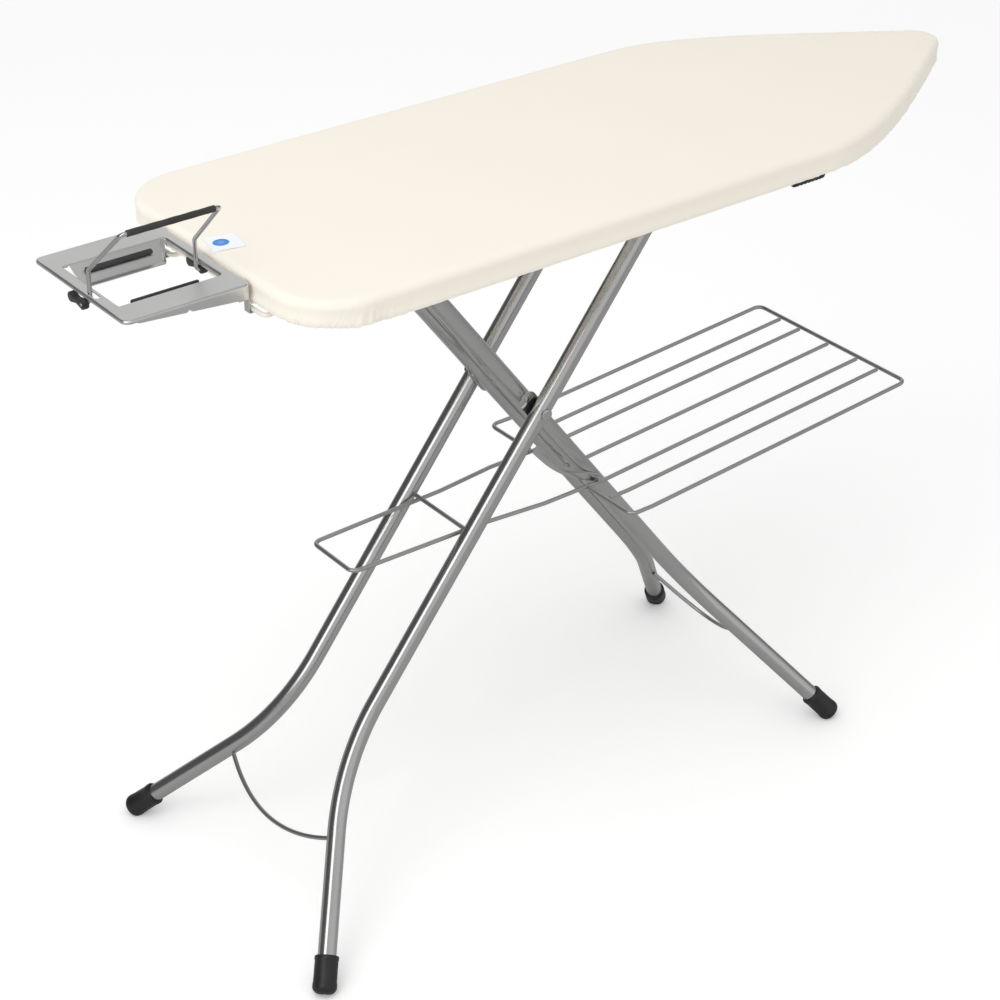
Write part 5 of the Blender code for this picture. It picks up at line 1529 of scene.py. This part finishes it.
def make_carriers():
    """The wire loops that carry the rest, and the hooks that hang on them."""
    for side, sign in SIDES.items():
        low, high = span(f"carrier_loop_{side}")
        start, back = low[0] + WIRE, high[0]
        bottom, top = low[2] + WIRE, high[2] - WIRE
        inner = sign * (min(abs(low[1]), abs(high[1])) + WIRE)
        outer = sign * (max(abs(low[1]), abs(high[1])) - WIRE)
        rise = start - 0.002 + 0.036
        arm = [(back, top), (back - 0.020, top), (rise, bottom)]
        path = [(x, inner, z) for x, z in arm] + [(start, inner, bottom), (start, outer, bottom)]
        path += [(x, outer, z) for x, z in reversed(arm)]
        loop = tube(f"carrier_wire_{side}", rounded(path, 0.007, 10), WIRE, Z, sides=24)
        place(loop, "board", "cream_paint", material("paint"), f"carrier_loop_{side}")
        node = f"rest_hook_{side}"
        low, high = span(node)
        sheet = HOOK_SHEET
        x0, x1 = low[0] + sheet / 2, high[0] - sheet / 2
        line = [(x0, high[2]), (x0, low[2] + sheet / 2), (x1, low[2] + sheet / 2)]
        line += [(x1, bottom - 0.001)]
        line = rounded(line, 0.0016, 6)
        middle = (low + high) / 2
        hook = folded(f"{node}_strip", line, Y * middle[1], X, Z, Y, (high[1] - low[1]) / 2, sheet)
        place(hook, "board", "satin_steel", material("sheet"), node)


# ---------------------------------------------------------------- stage


def floor_material(base):
    """Pale to the eye and in bounced light; in mirror reflections a mid grey, like a studio's."""
    made, tree, shader, _ = start_material("studio floor", specular_ior_level=0.1)
    path = tree.nodes.new("ShaderNodeLightPath")
    pale, grey = (*base, 1), (0.46, 0.46, 0.46, 1)
    tree.links.new(mix_colour(tree, path.outputs["Is Glossy Ray"], pale, grey),
                   shader.inputs["Base Color"])
    tree.links.new(mix_colour(tree, path.outputs["Is Camera Ray"], (0, 0, 0, 1), (1, 1, 1, 1)),
                   shader.inputs["Emission Color"])
    shader.inputs["Emission Strength"].default_value = 0.12
    shader.inputs["Roughness"].default_value = 0.9
    return made


CARD = (0.54, 0.67, 0.51)       # where a bright card stands in the reflections


def make_world():
    """Even white light; in mirror reflections mid grey in front, dark beside, bright behind."""
    world = bpy.data.worlds.new("studio")
    bpy.context.scene.world = world
    world.use_nodes = True
    tree = world.node_tree
    back = tree.nodes["Background"]
    at = tree.nodes.new("ShaderNodeTexCoord")
    parts = add_node(tree, "ShaderNodeSeparateXYZ", {0: at.outputs["Generated"]})
    front = remap(tree, parts.outputs[1], -0.75, 0.10, 0.66, 0.10)
    card = add_node(tree, "ShaderNodeVectorMath", {0: at.outputs["Generated"], 1: CARD},
                    operation="DOT_PRODUCT")
    behind = remap(tree, card.outputs["Value"], 0.80, 0.95, 0.0, 0.60)
    glossy = math_node(tree, "ADD", front, behind)
    path = tree.nodes.new("ShaderNodeLightPath")
    even = 0.80
    value = add_node(tree, "ShaderNodeMix", {0: path.outputs["Is Glossy Ray"], 2: even, 3: glossy})
    seen = add_node(tree, "ShaderNodeMix", {0: path.outputs["Is Camera Ray"]})
    tree.links.new(value.outputs[0], seen.inputs[2])
    seen.inputs[3].default_value = 1.0
    tree.links.new(seen.outputs[0], back.inputs["Color"])


def soft_box(name, direction, distance, size, size_y, power, aim):
    """An area light that faces the board from a direction, and that the camera doesn't see."""
    light = bpy.data.lights.new(name, "AREA")
    light.shape = "RECTANGLE"
    light.size, light.size_y = size, size_y
    light.energy = power
    obj = bpy.data.objects.new(name, light)
    direction = Vector(direction).normalized()
    obj.location = aim + direction * distance
    obj.rotation_mode = "QUATERNION"
    obj.rotation_quaternion = direction.to_track_quat("Z", "Y")
    obj.visible_camera = False
    bpy.context.scene.collection.objects.link(obj)


def make_camera():
    """A camera placed from the stage's angles and distances; its roll turns right into up."""
    s = sizes().stage
    camera = bpy.data.cameras.new("camera")
    camera.sensor_width = 36
    camera.lens = s.lens
    camera.shift_x, camera.shift_y = s.shift_x, s.shift_y
    obj = bpy.data.objects.new("camera", camera)
    level = math.cos(s.elevation)
    back = Vector((math.sin(s.azimuth) * level, -math.cos(s.azimuth) * level,
                   math.sin(s.elevation)))
    right = Vector((0, 0, 1)).cross(back).normalized()
    up = back.cross(right)
    cosine, sine = math.cos(s.roll), math.sin(s.roll)
    across = right * cosine + up * sine
    upwards = up * cosine - right * sine
    turned_to = Matrix((across, upwards, back)).transposed().to_4x4()
    spot = Vector((HUB[0] + s.camera_x, s.camera_y, s.camera_z))
    obj.matrix_world = Matrix.Translation(spot) @ turned_to
    bpy.context.scene.collection.objects.link(obj)
    bpy.context.scene.camera = obj


def make_floor():
    """A flat square grid at the height of the feet."""
    size = 60
    u, v = np.meshgrid(np.linspace(-size, size, 9), np.linspace(-size, size, 9), indexing="ij")
    points = np.stack([u, v, 0 * u], -1)
    floor = surface("studio_floor", points, closed=False)
    if floor.data.polygons[0].normal.z < 0:
        floor.data.flip_normals()
    floor.data.materials.append(floor_material(sizes().stage.floor))


# ---------------------------------------------------------------- operators


class BuildOperator(bpy.types.Operator):
    """Builds some of the board's pieces"""

    bl_idname = "ironing_board.base"
    bl_label = "Build pieces"
    steps = ()

    def execute(self, context):
        for step in self.steps:
            step()
        return {"FINISHED"}


class BuildCloth(BuildOperator):
    """Builds the cotton cover, the foam pad and the care label"""

    bl_idname = "ironing_board.cloth"
    bl_label = "Cover, pad and label"
    steps = (make_cover, make_pad, make_label)


class BuildBoardFrame(BuildOperator):
    """Builds the pierced plate, its rim and its ribs"""

    bl_idname = "ironing_board.board_frame"
    bl_label = "Plate, rim and ribs"
    steps = (make_plate, make_rim, make_ribs)


class BuildFoldHardware(BuildOperator):
    """Builds the hinge brackets and the slide rails under the board"""

    bl_idname = "ironing_board.fold_hardware"
    bl_label = "Brackets and rails"
    steps = (make_brackets, make_tracks)


class BuildLegs(BuildOperator):
    """Builds the leg tubes, their feet and braces"""

    bl_idname = "ironing_board.legs"
    bl_label = "Legs, feet and braces"
    steps = (make_legs, make_feet, make_braces)


class BuildPivots(BuildOperator):
    """Builds the top axles, glides, hub bolts, washers and plates"""

    bl_idname = "ironing_board.pivots"
    bl_label = "Axles and hub"
    steps = (make_axles, make_hub)


class BuildRack(BuildOperator):
    """Builds the wire linen rack and the safety strap"""

    bl_idname = "ironing_board.rack"
    bl_label = "Linen rack"
    steps = (make_rack, make_strap)


class BuildLever(BuildOperator):
    """Builds the height lever, its catch and its grip"""

    bl_idname = "ironing_board.lever"
    bl_label = "Height lever"
    steps = (make_lever,)


class BuildRest(BuildOperator):
    """Builds the iron rest, its rubber strips, bail, clips, carrier loops and hooks"""

    bl_idname = "ironing_board.rest"
    bl_label = "Iron rest"
    steps = (make_rest, make_rubber_strips, make_bail, make_clips, make_carriers)


class BuildStage(BuildOperator):
    """Sets the floor, the soft lights and the camera"""

    bl_idname = "ironing_board.stage"
    bl_label = "Stage"

    def execute(self, context):
        context.scene.view_settings.view_transform = "Standard"
        make_floor()
        make_world()
        aim = Vector((0.0, 0.0, 0.6))
        soft_box("left strip light", (-0.77, -0.24, 0.59), 3.0, 1.3, 3.2, 22, aim)
        soft_box("top light", (-0.25, -0.20, 1.0), 3.2, 2.0, 2.0, 13, aim)
        make_camera()
        return {"FINISHED"}


class LooksPanel(bpy.types.Panel):
    """Lists the build steps"""

    bl_idname = "VIEW3D_PT_ironing_board"
    bl_label = "Ironing board"
    bl_space_type = "VIEW_3D"
    bl_region_type = "UI"
    bl_category = "Ironing board"

    def draw(self, context):
        for operator in OPERATORS:
            self.layout.operator(operator.bl_idname)


GROUPS = (BoardSizes, LegSizes, RackSizes, RestSizes, StageSizes, IroningBoardSettings)
OPERATORS = (BuildStage, BuildCloth, BuildBoardFrame, BuildFoldHardware, BuildLegs, BuildPivots,
             BuildRack, BuildLever, BuildRest)


def register():
    """Makes the classes known to Blender, and gives each scene its settings."""
    for made in (*GROUPS, *OPERATORS, LooksPanel):
        bpy.utils.register_class(made)
    bpy.types.Scene.ironing_board = PointerProperty(type=IroningBoardSettings)


def unregister():
    """Takes the settings and the classes away again."""
    del bpy.types.Scene.ironing_board
    for made in reversed((*GROUPS, *OPERATORS, LooksPanel)):
        bpy.utils.unregister_class(made)


def main():
    """Builds the stage and every piece."""
    register()
    for operator in OPERATORS:
        group, name = operator.bl_idname.split(".")
        getattr(getattr(bpy.ops, group), name)()


if __name__ == "__main__":
    main()
